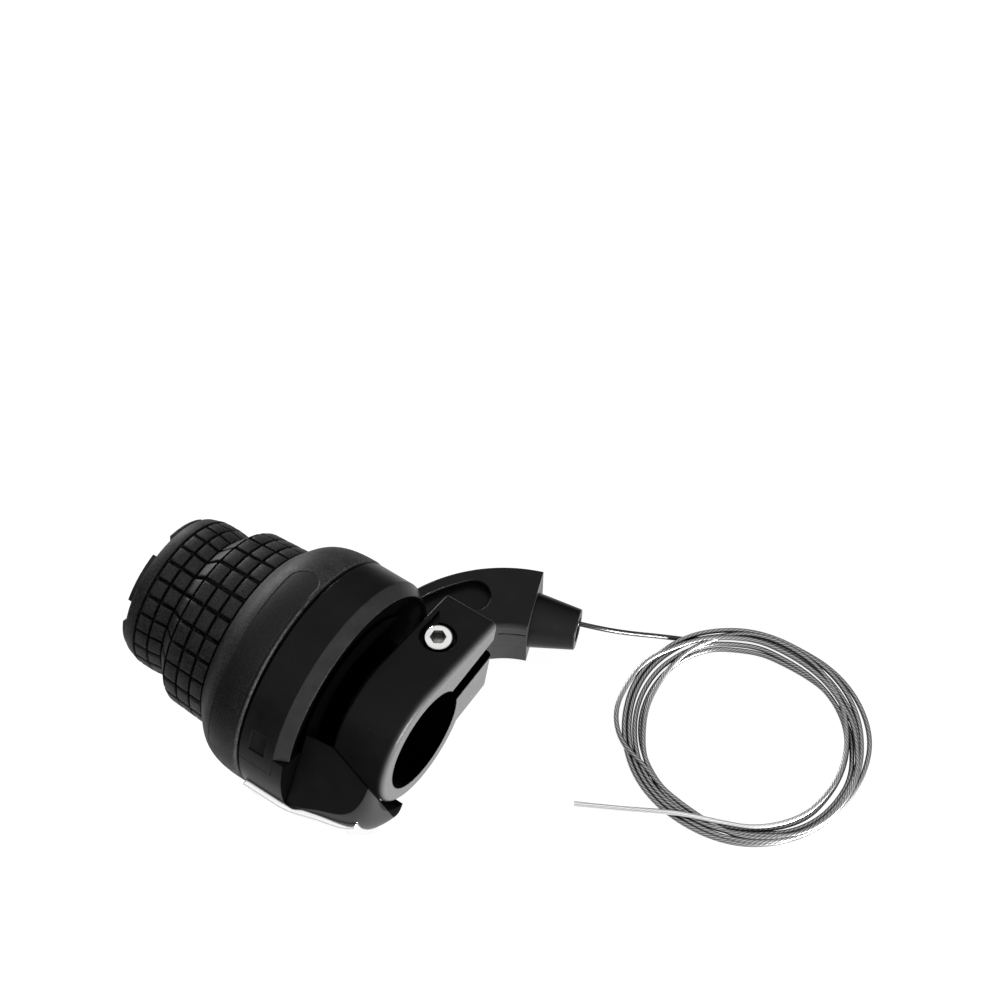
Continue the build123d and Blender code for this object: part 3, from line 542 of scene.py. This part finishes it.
# Moulded: name, dark shade, light shade, roughness, specular level, grain. Metal has no specular level.
FINISHES = {
    # Housing: painted shade in the bore, well and split, painted light on the clamp's paler end
    "housing": with_painted_zones(
        moulded(
            "housing_nylon", (0.010, 0.010, 0.0105), (0.014, 0.014, 0.0145), NYLON_ROUGH, NYLON_SPECULAR,
            0.35),
        "Hollow", (0.001, 0.001, 0.001), (0.057, 0.057, 0.0575)),
    "guide": moulded(
        "guide_nylon", (0.016, 0.016, 0.0165), (0.021, 0.021, 0.0215), NYLON_ROUGH, NYLON_SPECULAR, 0.25),
    "ferrule": moulded(
        "ferrule_nylon", (0.006, 0.006, 0.0065), (0.008, 0.008, 0.0085), NYLON_ROUGH, NYLON_SPECULAR, 0.15),
    # Pod: painted shade along its step and its edge beside the clamp
    "pod": with_painted_zones(
        moulded(
            "pod_nylon", (0.007, 0.007, 0.0075), (0.010, 0.010, 0.0105), (0.30, 0.38), NYLON_SPECULAR, 0.2),
        "Painted Step Shade", (0.002, 0.002, 0.002)),
    "barrel": moulded(
        "barrel_nylon", (0.012, 0.012, 0.0125), (0.018, 0.018, 0.0185), (0.40, 0.50), 0.3, 0.3),
    "drum": moulded("drum_nylon", (0.30, 0.30, 0.29), (0.36, 0.36, 0.35), (0.40, 0.50), 0.5, 0.2),
    "washer": moulded("washer_nylon", (0.55, 0.54, 0.50), (0.62, 0.61, 0.57), (0.35, 0.45), 0.5, 0.1),
    "dial": moulded("dial_card", (0.72, 0.72, 0.70), (0.78, 0.78, 0.76), (0.55, 0.65), 0.4, 0.1),
    "pointer": moulded("pointer_red", (0.50, 0.045, 0.02), (0.56, 0.055, 0.03), (0.40, 0.50), 0.5, 0.1),
    # Bolt: deep painted shade in its hex socket from the occlusion node
    "bolt": metal(
        "bolt_zinc", (0.74, 0.74, 0.73), (0.84, 0.84, 0.83), (0.08, 0.14), 0.1, depth=3.0 * MM, lowest=0.08),
    "nut": metal("nut_zinc", (0.60, 0.60, 0.58), (0.72, 0.72, 0.70), (0.35, 0.50), 0.2),
    "spring": metal("spring_steel", (0.42, 0.42, 0.43), (0.52, 0.52, 0.53), (0.25, 0.35), 0.1),
    "bezel": metal("bezel_chrome", (0.95, 0.95, 0.95), (0.98, 0.98, 0.98), (0.06, 0.10), 0.03, edge=0.5 * MM),
    "cable_head": metal("cast_zinc", (0.48, 0.48, 0.47), (0.60, 0.60, 0.59), (0.45, 0.60), 0.4),
    "steel": metal("wire_steel", (0.42, 0.42, 0.42), (0.55, 0.55, 0.55), (0.30, 0.42), 0.2),
}
print("finishes", len(FINISHES))

# %% [markdown]
# ## The clear window
# The gear window is a moulded acrylic pane, so its finish is glass with a slight haze. Glass in Cycles
# casts a dark shadow, because a ray that bends in it seldom meets a lamp. Light from the lamps and the
# room therefore goes straight through the pane, which lights the card behind it.

# %% Make the window
WINDOW_TINT = (0.95, 0.96, 0.96, 1)
WINDOW_IOR = 1.49
HAZE_GRAIN_SCALE = 2500.0
HAZE_MOTTLE_SCALE = 150.0
HAZE_ROUGH = (0.03, 0.08)

window_clear, window_tree, window_shader = new_finish("window_clear")
window_shader.inputs["Base Color"].default_value = WINDOW_TINT
window_shader.inputs["Transmission Weight"].default_value = 1.0
window_shader.inputs["IOR"].default_value = WINDOW_IOR
haze = group_on(window_tree, grain_group, Grain_Scale=HAZE_GRAIN_SCALE, Mottle_Scale=HAZE_MOTTLE_SCALE)
window_rough = map_range(window_tree, haze.outputs["Mottle"], 0.0, 1.0, *HAZE_ROUGH)
window_tree.links.new(window_rough, window_shader.inputs["Roughness"])
let_through = window_tree.nodes.new("ShaderNodeBsdfTransparent")
pane = shown_to(
    window_tree, "Is Shadow Ray", window_shader.outputs["BSDF"], let_through.outputs["BSDF"])
window_tree.links.new(pane, window_tree.nodes["Material Output"].inputs["Surface"])
FINISHES["lens"] = window_clear
print("window", window_clear.name)

# %% [markdown]
# ## Dressing the solids
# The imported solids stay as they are, and each gets one finish. Materials could be given by hand in the
# viewport, but a list of names shows at a glance which piece is made of what.

# %% Dress the solids
NODE_FINISH = {
    "clamp_housing": "housing", "clamp_bolt": "bolt", "clamp_nut": "nut", "twist_barrel": "barrel",
    "cable_drum": "drum", "cable_head": "cable_head", "wrapped_wire": "steel", "inner_wire": "steel",
    "barrel_washer": "washer", "detent_spring": "spring", "cable_guide": "guide", "guide_cover": "guide",
    "guide_screw": "nut", "casing_ferrule": "ferrule", "indicator_pod": "pod", "indicator_lens": "lens",
    "indicator_bezel": "bezel", "indicator_dial": "dial", "indicator_pointer": "pointer",
}


def dress(piece, finish):
    """Give a piece one finish."""
    piece.data.materials.clear()
    piece.data.materials.append(finish)


for node_name, finish_name in NODE_FINISH.items():
    dress(nodes[node_name], FINISHES[finish_name])
print("dressed", len(NODE_FINISH), "solids")

# %% [markdown]
# ## The ribbed rubber grip
# The rubber sleeve is one moulding: a smooth rim, six rings of small blocks that fall into a valley, and
# a wide collar that hides the joint with the fixed ring. It could be carved with modifiers, but the
# blocks repeat round the bar, so a spin of one closed outline gives the sleeve at groove depth, and the
# blocks are then raised from its own faces.

# %% Draw the sleeve's outline
RIM_END = -58.45
RIM_RADIUS = 16.31
BLOCK_BACK = -55.25
COLUMN_PITCH = 3.45
COLUMNS = 6
GROOVE = 0.5
BLOCK_DEPTH = 0.7
# Outer radius of the blocks at each column's edges, from the rim to the collar
COLUMN_RADII = [17.21, 17.21, 16.71, 20.3, 20.5, 20.7, 20.9]
COLLAR_START = BLOCK_BACK + COLUMNS * COLUMN_PITCH
COLLAR_LIP = 0.25
COLLAR_SHOULDER = (-30.18, 24.82)
SHOULDER_WAY = (1, 0.5)
COLLAR_FRONT = -21.3
COLLAR_RADIUS = 26.2
COLLAR_ROUND = 0.8
COLLAR_POINTS = 9
ROUND_POINTS = 5
INNER_LINE = [
    (COLLAR_FRONT, 24.0), (-21.4, 24.0), (-34.55, 19.3), (-44.9, 18.7), (-48.35, 15.11), (-51.8, 15.61),
    (RIM_END, 15.61),
]


def column_radius(x):
    """Outer radius of the ribbed part at a station along the bar."""
    share = min(max((x - BLOCK_BACK) / COLUMN_PITCH, 0.0), COLUMNS)
    column = min(int(share), COLUMNS - 1)
    return COLUMN_RADII[column] + (COLUMN_RADII[column + 1] - COLUMN_RADII[column]) * (share - column)


def glide(start, start_way, stop, stop_way, count):
    """Points on a smooth curve between two points with given directions."""
    reach = (Vector(stop) - Vector(start)).length / 3
    start_handle = Vector(start) + Vector(start_way).normalized() * reach
    stop_handle = Vector(stop) - Vector(stop_way).normalized() * reach
    curve = geometry.interpolate_bezier(Vector(start), start_handle, stop_handle, Vector(stop), count)
    return [tuple(point) for point in curve]


outline = [(RIM_END, RIM_RADIUS), (BLOCK_BACK - GROOVE / 2, COLUMN_RADII[0])]
for column in range(COLUMNS + 1):
    edge_x = BLOCK_BACK + column * COLUMN_PITCH
    for x in (edge_x - GROOVE / 2, edge_x + GROOVE / 2):
        outline.append((x, column_radius(x) - BLOCK_DEPTH))
lip = (COLLAR_START + GROOVE / 2, COLUMN_RADII[-1] + COLLAR_LIP)
crown_end = (COLLAR_FRONT - COLLAR_ROUND, COLLAR_RADIUS)
front_edge = (COLLAR_FRONT, COLLAR_RADIUS - COLLAR_ROUND)
outline += glide(lip, (1, 1), COLLAR_SHOULDER, SHOULDER_WAY, COLLAR_POINTS)
outline += glide(COLLAR_SHOULDER, SHOULDER_WAY, crown_end, (1, 0), COLLAR_POINTS)[1:]
outline += glide(crown_end, (1, 0), front_edge, (0, -1), ROUND_POINTS)[1:]
outline += INNER_LINE
print("outline points", len(outline))

# %% Spin the sleeve
ROWS = 26
ROW_PHASE = 3.2
SEGMENTS_PER_ROW = 6
MERGE_GAP = 0.001 * MM

sleeve = bmesh.new()
first_angle = math.radians(ROW_PHASE - 180 / ROWS / SEGMENTS_PER_ROW)
ring = [
    sleeve.verts.new((x * MM, r * MM * math.cos(first_angle), r * MM * math.sin(first_angle)))
    for x, r in outline
]
for start, stop in zip(ring, ring[1:] + ring[:1]):
    sleeve.edges.new((start, stop))
bmesh.ops.spin(
    sleeve, geom=sleeve.verts[:] + sleeve.edges[:], cent=(0, 0, 0), axis=(1, 0, 0), dvec=(0, 0, 0),
    angle=2 * math.pi, steps=ROWS * SEGMENTS_PER_ROW, use_merge=True,
)
bmesh.ops.remove_doubles(sleeve, verts=sleeve.verts, dist=MERGE_GAP)
bmesh.ops.recalc_face_normals(sleeve, faces=sleeve.faces)
print("sleeve faces", len(sleeve.faces))

# %% [markdown]
# ## Raising the blocks
# On the real grip the blocks and the sleeve are one piece of rubber, and the grooves between them are
# where the mould stood proud. Blocks could be set on as separate cubes, but then their feet would cross
# the sleeve. Faces that lie under a block are found by their place and pushed straight out, so the skin
# stays closed.

# %% Raise the blocks
GROOVE_SLACK = 0.2


def radius_at(place):
    """Distance of a place from the bar's axis, in millimetres."""
    return math.hypot(place.y, place.z) / MM


def block_faces(bm):
    """Faces of the sleeve that stand under a block."""
    found = []
    for face in bm.faces:
        centre = face.calc_center_median()
        column = (centre.x / MM - BLOCK_BACK) / COLUMN_PITCH
        if not 0 < column < COLUMNS or abs(column - round(column)) * COLUMN_PITCH < GROOVE / 2:
            continue
        if abs(radius_at(centre) - (column_radius(centre.x / MM) - BLOCK_DEPTH)) > GROOVE_SLACK:
            continue
        angle = math.degrees(math.atan2(centre.z, centre.y) - first_angle) % 360
        if int(angle * ROWS * SEGMENTS_PER_ROW / 360) % SEGMENTS_PER_ROW:
            found.append(face)
    return found


raised = bmesh.ops.extrude_face_region(sleeve, geom=block_faces(sleeve))
top_verts = [part for part in raised["geom"] if isinstance(part, bmesh.types.BMVert)]
for vert in top_verts:
    vert.co += Vector((0, vert.co.y, vert.co.z)).normalized() * (BLOCK_DEPTH * MM)
print("block vertices", len(top_verts))

# %% [markdown]
# ## Rounding the blocks
# A mould leaves no sharp corners in rubber. A Bevel modifier would round every edge by the same size, so
# the upright corners, the edges of the tops and the rim are chosen one kind after the other, and each
# gets its own.

# %% Choose the edges
CORNER_ANGLE = 60
TOP_ANGLE = 45
LEVEL_SLACK = 0.05
DEPTH_SLACK = 0.1
RADIUS_SLACK = 0.05
RIM_SLACK = 0.01


def bends(edge, degrees):
    """True where the two faces at an edge meet at more than this angle."""
    return len(edge.link_faces) == 2 and edge.calc_face_angle() > math.radians(degrees)


def is_corner(edge):
    """True for an upright edge at a block's corner."""
    low, high = sorted(radius_at(vert.co) for vert in edge.verts)
    level = abs(edge.verts[0].co.x - edge.verts[1].co.x) < LEVEL_SLACK * MM
    return level and abs(high - low - BLOCK_DEPTH) < DEPTH_SLACK and bends(edge, CORNER_ANGLE)


def on_top(vert):
    """True for a vertex at the height of the blocks' tops."""
    x = vert.co.x / MM
    inside = BLOCK_BACK - GROOVE < x < COLLAR_START
    return inside and abs(radius_at(vert.co) - column_radius(x)) < RADIUS_SLACK


def on_rim(vert):
    """True for a vertex on the sleeve's outer end edge."""
    at_end_face = abs(vert.co.x / MM - RIM_END) < RIM_SLACK
    return at_end_face and abs(radius_at(vert.co) - RIM_RADIUS) < RADIUS_SLACK


def is_top_edge(edge):
    """True for an edge round a block's top."""
    return all(map(on_top, edge.verts)) and bends(edge, TOP_ANGLE)


def is_rim_edge(edge):
    """True for an edge round the sleeve's outer end."""
    return all(map(on_rim, edge.verts))


print("edges to choose from", len(sleeve.edges))

# %% Round the blocks
# Each round: the edges, its size in millimetres, its segments
ROUNDS = [(is_corner, 0.75, 3), (is_top_edge, 0.26, 2), (is_rim_edge, 0.4, 3)]
SMOOTH_ANGLE = 40

for chosen, offset, segments in ROUNDS:
    edges = [edge for edge in sleeve.edges if chosen(edge)]
    bmesh.ops.bevel(
        sleeve, geom=edges, offset=offset * MM, offset_type="OFFSET", segments=segments, profile=0.5,
        affect="EDGES", clamp_overlap=True, material=-1,
    )
bmesh.ops.recalc_face_normals(sleeve, faces=sleeve.faces)
grip = finish_new_mesh("rubber_grip", sleeve)
grip.data.polygons.foreach_set("use_smooth", [True] * len(grip.data.polygons))
grip.data.set_sharp_from_angle(angle=math.radians(SMOOTH_ANGLE))
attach(grip, "twist")
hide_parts("grip_rubber")
print("grip faces", len(grip.data.polygons))

# %% [markdown]
# ## The panel on the collar
# On the collar a long shallow panel with a round end is polished in the mould, and the rest of the
# collar is grainier and catches more light. The panel is a mask on the piece's own coordinates, unrolled
# round the bar, because a shallow change of skin needs no geometry.

# %% Build the panel group
PANEL_SOFT = 0.25 * MM

panel_group, panel_in, panel_out = new_group(
    "unrolled_panel",
    {"Vector": None, "Turn": 0.0, "Radius": 0.026, "Middle": 0.0, "Half Width": 0.003, "Half Length": 0.02,
     "Corner": 0.003},
    ["Mask"])
turned_back = panel_group.nodes.new("ShaderNodeVectorRotate")
turned_back.rotation_type = "X_AXIS"
back_turn = figure(panel_group, "MULTIPLY", panel_in.outputs["Turn"], -1.0)
panel_group.links.new(panel_in.outputs["Vector"], turned_back.inputs["Vector"])
panel_group.links.new(back_turn, turned_back.inputs["Angle"])
panel_axes = panel_group.nodes.new("ShaderNodeSeparateXYZ")
panel_group.links.new(turned_back.outputs["Vector"], panel_axes.inputs["Vector"])
panel_angle = figure(panel_group, "ARCTAN2", panel_axes.outputs["Z"], panel_axes.outputs["Y"])
round_bar = figure(panel_group, "MULTIPLY", panel_angle, panel_in.outputs["Radius"])
along_bar = figure(panel_group, "SUBTRACT", panel_axes.outputs["X"], panel_in.outputs["Middle"])
squares = []
for measure, half in ((along_bar, "Half Width"), (round_bar, "Half Length")):
    core = figure(panel_group, "SUBTRACT", panel_in.outputs[half], panel_in.outputs["Corner"])
    past_core = figure(panel_group, "SUBTRACT", figure(panel_group, "ABSOLUTE", measure), core)
    over = figure(panel_group, "MAXIMUM", past_core, 0.0)
    squares.append(figure(panel_group, "MULTIPLY", over, over))
from_core = figure(panel_group, "SQRT", figure(panel_group, "ADD", *squares))
edge_gap = figure(panel_group, "SUBTRACT", from_core, panel_in.outputs["Corner"])
mask = map_range(panel_group, edge_gap, PANEL_SOFT, -PANEL_SOFT, kind="SMOOTHSTEP")
panel_group.links.new(mask, panel_out.inputs["Mask"])
print("group", panel_group.name)

# %% [markdown]
# ## The rubber finish
# Rubber is duller and paler than nylon, with a speckled skin. Two skins, one for the panel and one for
# the rest, are mixed by the panel's mask. The grain that gives the bump also makes light and dark
# flecks, lighter on the grain's tops and darker in its pits, which paints light and shade into the
# grain. An occlusion node paints shade into the grooves between the blocks.

# %% Make the rubber
PANEL_FROM = 74.0
PANEL_TO = 190.0
PANEL_MIDDLE = -25.6
PANEL_HALF_WIDTH = 3.4
PANEL_CORNER = 3.3
PANEL_SINK = -5.0
PLAIN_SHADES = (0.016, 0.016, 0.0165), (0.034, 0.034, 0.035)
PANEL_SHADES = (0.007, 0.007, 0.0075), (0.011, 0.011, 0.0115)
SPECKLE_GRAIN_SCALE = 2400.0
SPECKLE_MOTTLE_SCALE = 260.0
FLECK_FROM = 0.36
FLECK_TO = 0.64
FLECK_SHARES = (0.45, 1.7)
RUBBER_ROUGH = (0.46, 0.62)
RUBBER_SPECULAR = 0.27
RUBBER_GRAIN = 0.9
RUBBER_EDGE = 0.15 * MM
RUBBER_DEPTH = 1.2 * MM

rubber, rubber_tree, rubber_shader = new_finish("grip_rubber_skin")
panel = group_on(
    rubber_tree, panel_group, Turn=math.radians((PANEL_FROM + PANEL_TO) / 2), Radius=COLLAR_RADIUS * MM,
    Middle=PANEL_MIDDLE * MM, Half_Width=PANEL_HALF_WIDTH * MM, Corner=PANEL_CORNER * MM,
    Half_Length=math.radians((PANEL_TO - PANEL_FROM) / 2) * COLLAR_RADIUS * MM)
speckle = group_on(
    rubber_tree, grain_group, Grain_Scale=SPECKLE_GRAIN_SCALE, Mottle_Scale=SPECKLE_MOTTLE_SCALE)
plain_skin, panel_skin = [
    mixed(rubber_tree, speckle.outputs["Mottle"], *shades) for shades in (PLAIN_SHADES, PANEL_SHADES)]
rubber_skin = mixed(rubber_tree, panel.outputs["Mask"], plain_skin, panel_skin)
# Flecks: lighter on the grain's tops and darker in its pits, partly painted light and shade
flecks_and_grain_shade = map_range(rubber_tree, speckle.outputs["Height"], FLECK_FROM, FLECK_TO, *FLECK_SHARES)
# Painted shade in the grooves between the blocks, from the occlusion node
rubber_shade = with_painted_occlusion(rubber_tree, scaled(rubber_tree, rubber_skin, flecks_and_grain_shade), RUBBER_DEPTH)
rubber_rough = map_range(rubber_tree, speckle.outputs["Mottle"], 0.0, 1.0, *RUBBER_ROUGH)
sunk = figure(rubber_tree, "MULTIPLY", panel.outputs["Mask"], PANEL_SINK)
rubber_height = figure(rubber_tree, "ADD", speckle.outputs["Height"], sunk)
rubber_normal = grain_normal(rubber_tree, rubber_height, RUBBER_GRAIN, RUBBER_EDGE)
rubber_tree.links.new(rubber_shade, rubber_shader.inputs["Base Color"])
rubber_tree.links.new(rubber_rough, rubber_shader.inputs["Roughness"])
rubber_tree.links.new(rubber_normal, rubber_shader.inputs["Normal"])
rubber_shader.inputs["Specular IOR Level"].default_value = RUBBER_SPECULAR
dress(grip, rubber)
print("rubber on", grip.name)

# %% [markdown]
# ## The bare inner cable
# A bicycle gear wire is about 1.1 mm of twisted steel strands, springy and cut bare at its end. It is
# one open spline: out of the ferrule, down to the table and in under the bundle, round in loose turns,
# and off over the bundle to its cut end. No two turns of a springy wire have quite the same size, so a
# screw or an array of rings would look too even. Each turn has its own row of radii, read off the
# photograph twelve times round, and the wire glides from one to the next.

# %% Draw the cable's route
WIRE = 1.1 * MM
CABLE_EXIT = (12.53, 48.874, -15.0)
LEAD_POINTS = [
    (16.3, 50.24, -15.1), (20.9, 54.5, -18.6), (25.5, 59.7, -22.6), (29.4, 63.4, -25.1), (32.6, 65.3, -25.6),
]
COIL_CENTRE = (54.4, 51.7)
STATIONS = 12
# Radius of each turn at twelve stations, clockwise from 120 degrees, then the height of the wire's middle
TURNS = [
    (25.6, 24.7, 25.8, 26.6, 25.9, 26.3, 26.6, 26.2, 26.6, 26.5, 26.7, 26.4, -25.6),
    (25.2, 24.0, 24.3, 24.6, 25.4, 26.5, 26.0, 25.2, 25.6, 25.4, 25.7, 25.3, -24.4),
    (24.0, 22.7, 23.0, 24.0, 24.8, 25.9, 25.2, 22.8, 23.4, 28.8, 27.6, 24.6, -25.0),
    (22.9, 21.4, 21.7, 23.4, 25.6, 26.2, 24.4, 24.4, 24.7, 24.2, 24.1, 23.5, -24.0),
    (21.8, 20.3, 20.7, 22.5, 24.2, 24.8, 23.7, 22.8, 22.9, 23.0, 22.7, 22.5, -25.0),
    (20.7, 19.6, 21.0, 21.6, 21.9, 23.3, 23.0, 23.9, 23.5, 22.2, 21.9, 23.3, -25.6),
    (24.5, 23.3, 22.2, 21.4, 21.7, 22.7, 22.9, 22.4, 22.4, 22.4, 22.4, 22.4, -24.2),
]
TURN_START = 120.0
TURN_END = -72.0
POINTS_PER_TURN = 24
TAIL_POINTS = [(53.0, 26.4, -23.4), (48.2, 24.0, -23.9), (40.4, 20.2, -25.0), (32.8, 16.6, -25.6)]


def coil_points():
    """Points round the turns, clockwise from above, with the radius gliding from station to station."""
    radii = [radius for turn in TURNS for radius in turn[:STATIONS]]
    sweep = TURN_START - TURN_END + 360 * (len(TURNS) - 1)
    count = int(sweep / 360 * POINTS_PER_TURN)
    outward = 1 / math.cos(math.pi / POINTS_PER_TURN)
    points = []
    for index in range(count + 1):
        station = sweep * index / count / 360 * STATIONS
        first = min(int(station), len(radii) - 2)
        share = station - first
        share = share * share * (3 - 2 * share)
        radius = (radii[first] + (radii[first + 1] - radii[first]) * share) * outward
        turn = min(int(station / STATIONS), len(TURNS) - 1)
        later = min(turn + 1, len(TURNS) - 1)
        rise = station / STATIONS - turn
        height = TURNS[turn][STATIONS] + (TURNS[later][STATIONS] - TURNS[turn][STATIONS]) * rise
        angle = math.radians(TURN_START - sweep * index / count)
        points.append(
            (COIL_CENTRE[0] + radius * math.cos(angle), COIL_CENTRE[1] + radius * math.sin(angle), height))
    return points


route = [CABLE_EXIT, *LEAD_POINTS, *coil_points(), *TAIL_POINTS]
print("route points", len(route))

# %% [markdown]
# ## The wire along its route
# A wire is round all along, so a curve with a bevel is the wire itself, and no mesh has to be swept by
# hand. The spline passes near its points and not through them, which smooths small errors of reading,
# and each point's radius sets the thickness.

# %% Lay the cable
SPLINE_ORDER = 3
SPLINE_STEPS = 6
WIRE_ROUND = 3

cable_curve = bpy.data.curves.new("inner_cable", "CURVE")
cable_curve.dimensions = "3D"
spline = cable_curve.splines.new("NURBS")
spline.points.add(len(route) - 1)
for point, (x, y, z) in zip(spline.points, route):
    point.co = (x * MM, y * MM, z * MM, 1)
    point.radius = WIRE / 2
spline.order_u = SPLINE_ORDER
spline.use_endpoint_u = True
spline.resolution_u = SPLINE_STEPS
cable_curve.bevel_depth = 1.0
cable_curve.bevel_resolution = WIRE_ROUND
cable_curve.use_fill_caps = True
cable = bpy.data.objects.new("inner_cable", cable_curve)
bpy.context.collection.objects.link(cable)
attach(cable, "housing")
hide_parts("cable_lead", "cable_coil", "cable_tail")
CABLE_LENGTH = spline.calc_length()
print("cable length", round(CABLE_LENGTH, 4), "m")

# %% [markdown]
# ## The wire's finish
# The wire is laid from fine steel strands, so its skin is a slanting ribbing that follows it round every
# bend. Strands as curves of their own would cost many faces for a detail finer than a pixel. The curve
# carries its own UV map, along and around the wire, and slanted stripes on that map give the strands:
# painted shade in the gaps between them and a painted highlight on their tops. In the photograph most
# of the wire is dull, the stretch out of the ferrule is dark and the cut end is bright, so the stretch
# is made darker and the cut end is given painted light. An occlusion node paints shade where the
# turns lie close.

# %% Make the strands
STRAND_PITCH = 1.1 * MM
STRANDS = 6
# Shares of the wire's length where the darker lead ends and the end with painted light begins
DARK_LEAD_FADE = (0.042, 0.03)
PAINTED_BRIGHT_END_RISE = (0.955, 0.97)
# Shades of the gaps and the tops of the strands, which paint shade in the gaps and a highlight on the tops
OILED_SHADES = (0.07, 0.07, 0.07), (0.52, 0.52, 0.52)
DARK_LEAD_SHADES = (0.02, 0.02, 0.02), (0.12, 0.12, 0.12)
PAINTED_BRIGHT_END_SHADES = (0.55, 0.55, 0.55), (0.95, 0.95, 0.95)
WIRE_ROUGH = (0.44, 0.34)
WIRE_BUMP = 0.25
WIRE_DEPTH = 1.8 * MM
WIRE_LOWEST = 0.1

strands, wire_tree, wire_shader = new_finish("cable_strands")
wire_place = wire_tree.nodes.new("ShaderNodeTexCoord")
unrolled = wire_tree.nodes.new("ShaderNodeSeparateXYZ")
wire_tree.links.new(wire_place.outputs["UV"], unrolled.inputs["Vector"])
length_share = unrolled.outputs["X"]
laid_along = figure(wire_tree, "MULTIPLY", length_share, CABLE_LENGTH / STRAND_PITCH)
laid_round = figure(wire_tree, "MULTIPLY", unrolled.outputs["Y"], float(STRANDS))
stripe = figure(wire_tree, "PINGPONG", figure(wire_tree, "ADD", laid_along, laid_round), 0.5)
ridge = figure(wire_tree, "MULTIPLY", stripe, 2.0)
oiled, dark_lead, painted_bright_end = [
    mixed(wire_tree, ridge, *shades) for shades in (OILED_SHADES, DARK_LEAD_SHADES, PAINTED_BRIGHT_END_SHADES)]
# The stretch out of the ferrule is made darker
with_dark_lead = mixed(wire_tree, map_range(wire_tree, length_share, *DARK_LEAD_FADE), oiled, dark_lead)
# Painted light: the cut end is made brighter
wire_skin = mixed(wire_tree, map_range(wire_tree, length_share, *PAINTED_BRIGHT_END_RISE), with_dark_lead, painted_bright_end)
# Painted shade from the occlusion node where the turns lie close
wire_shade = with_painted_occlusion(wire_tree, wire_skin, WIRE_DEPTH, WIRE_LOWEST)
wire_rough = map_range(wire_tree, ridge, 0.0, 1.0, *WIRE_ROUGH)
wire_normal = grain_normal(wire_tree, ridge, WIRE_BUMP, edge=None)
wire_tree.links.new(wire_shade, wire_shader.inputs["Base Color"])
wire_tree.links.new(wire_rough, wire_shader.inputs["Roughness"])
wire_tree.links.new(wire_normal, wire_shader.inputs["Normal"])
wire_shader.inputs["Metallic"].default_value = 1.0
dress(cable, strands)
print("strands", STRANDS)

# %% [markdown]
# ## Numbers on the dial
# The dial card behind the clear window carries plain numbers, one for each gear. A picture on the card
# would need a file and a UV map. Text is made a mesh at the card's size, turned so that it reads along
# the bar, and laid just above the card's face.

# %% Print the dial
GEARS = 7
POINTER_ANGLE = 206.0
FIRST_NEEDLE = -14.4
GEAR_STEP = 2.4
CARD_FACE = 19.9
NUMBER_TURN = 7.0
NUMBER_SIZE = 2.0
NUMBER_LIFT = 0.03
INK_THICKNESS = 0.02
INK_MERGE_GAP = 0.0001 * MM

ink = moulded("dial_ink", (0.012, 0.012, 0.013), (0.02, 0.02, 0.021), (0.5, 0.6), 0.4, 0.05)
card_angle = math.radians(POINTER_ANGLE - NUMBER_TURN)
card_out = Vector((0, math.cos(card_angle), math.sin(card_angle)))
card_right = Vector((1, 0, 0))
card_facing = Matrix((card_right, card_out.cross(card_right), card_out)).transposed().to_4x4()
numbers = bmesh.new()
for gear in range(GEARS):
    words = bpy.data.curves.new("gear_number", "FONT")
    words.body = str(gear + 1)
    words.size = NUMBER_SIZE * MM
    words.align_x = "CENTER"
    words.align_y = "CENTER"
    words.extrude = INK_THICKNESS * MM
    writer = bpy.data.objects.new("gear_number", words)
    bpy.context.collection.objects.link(writer)
    bpy.context.view_layer.update()
    written = writer.evaluated_get(bpy.context.evaluated_depsgraph_get())
    number = bpy.data.meshes.new_from_object(written)
    bpy.data.objects.remove(writer)
    needle = Vector(((FIRST_NEEDLE + gear * GEAR_STEP) * MM, 0, 0))
    spot = needle + card_out * (CARD_FACE + NUMBER_LIFT) * MM
    number.transform(Matrix.Translation(spot) @ card_facing)
    numbers.from_mesh(number)
    bpy.data.meshes.remove(number)
bmesh.ops.remove_doubles(numbers, verts=numbers.verts, dist=INK_MERGE_GAP)
dial_numbers = finish_new_mesh("dial_numbers", numbers)
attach(dial_numbers, "housing")
dress(dial_numbers, ink)
print("numbers", GEARS)
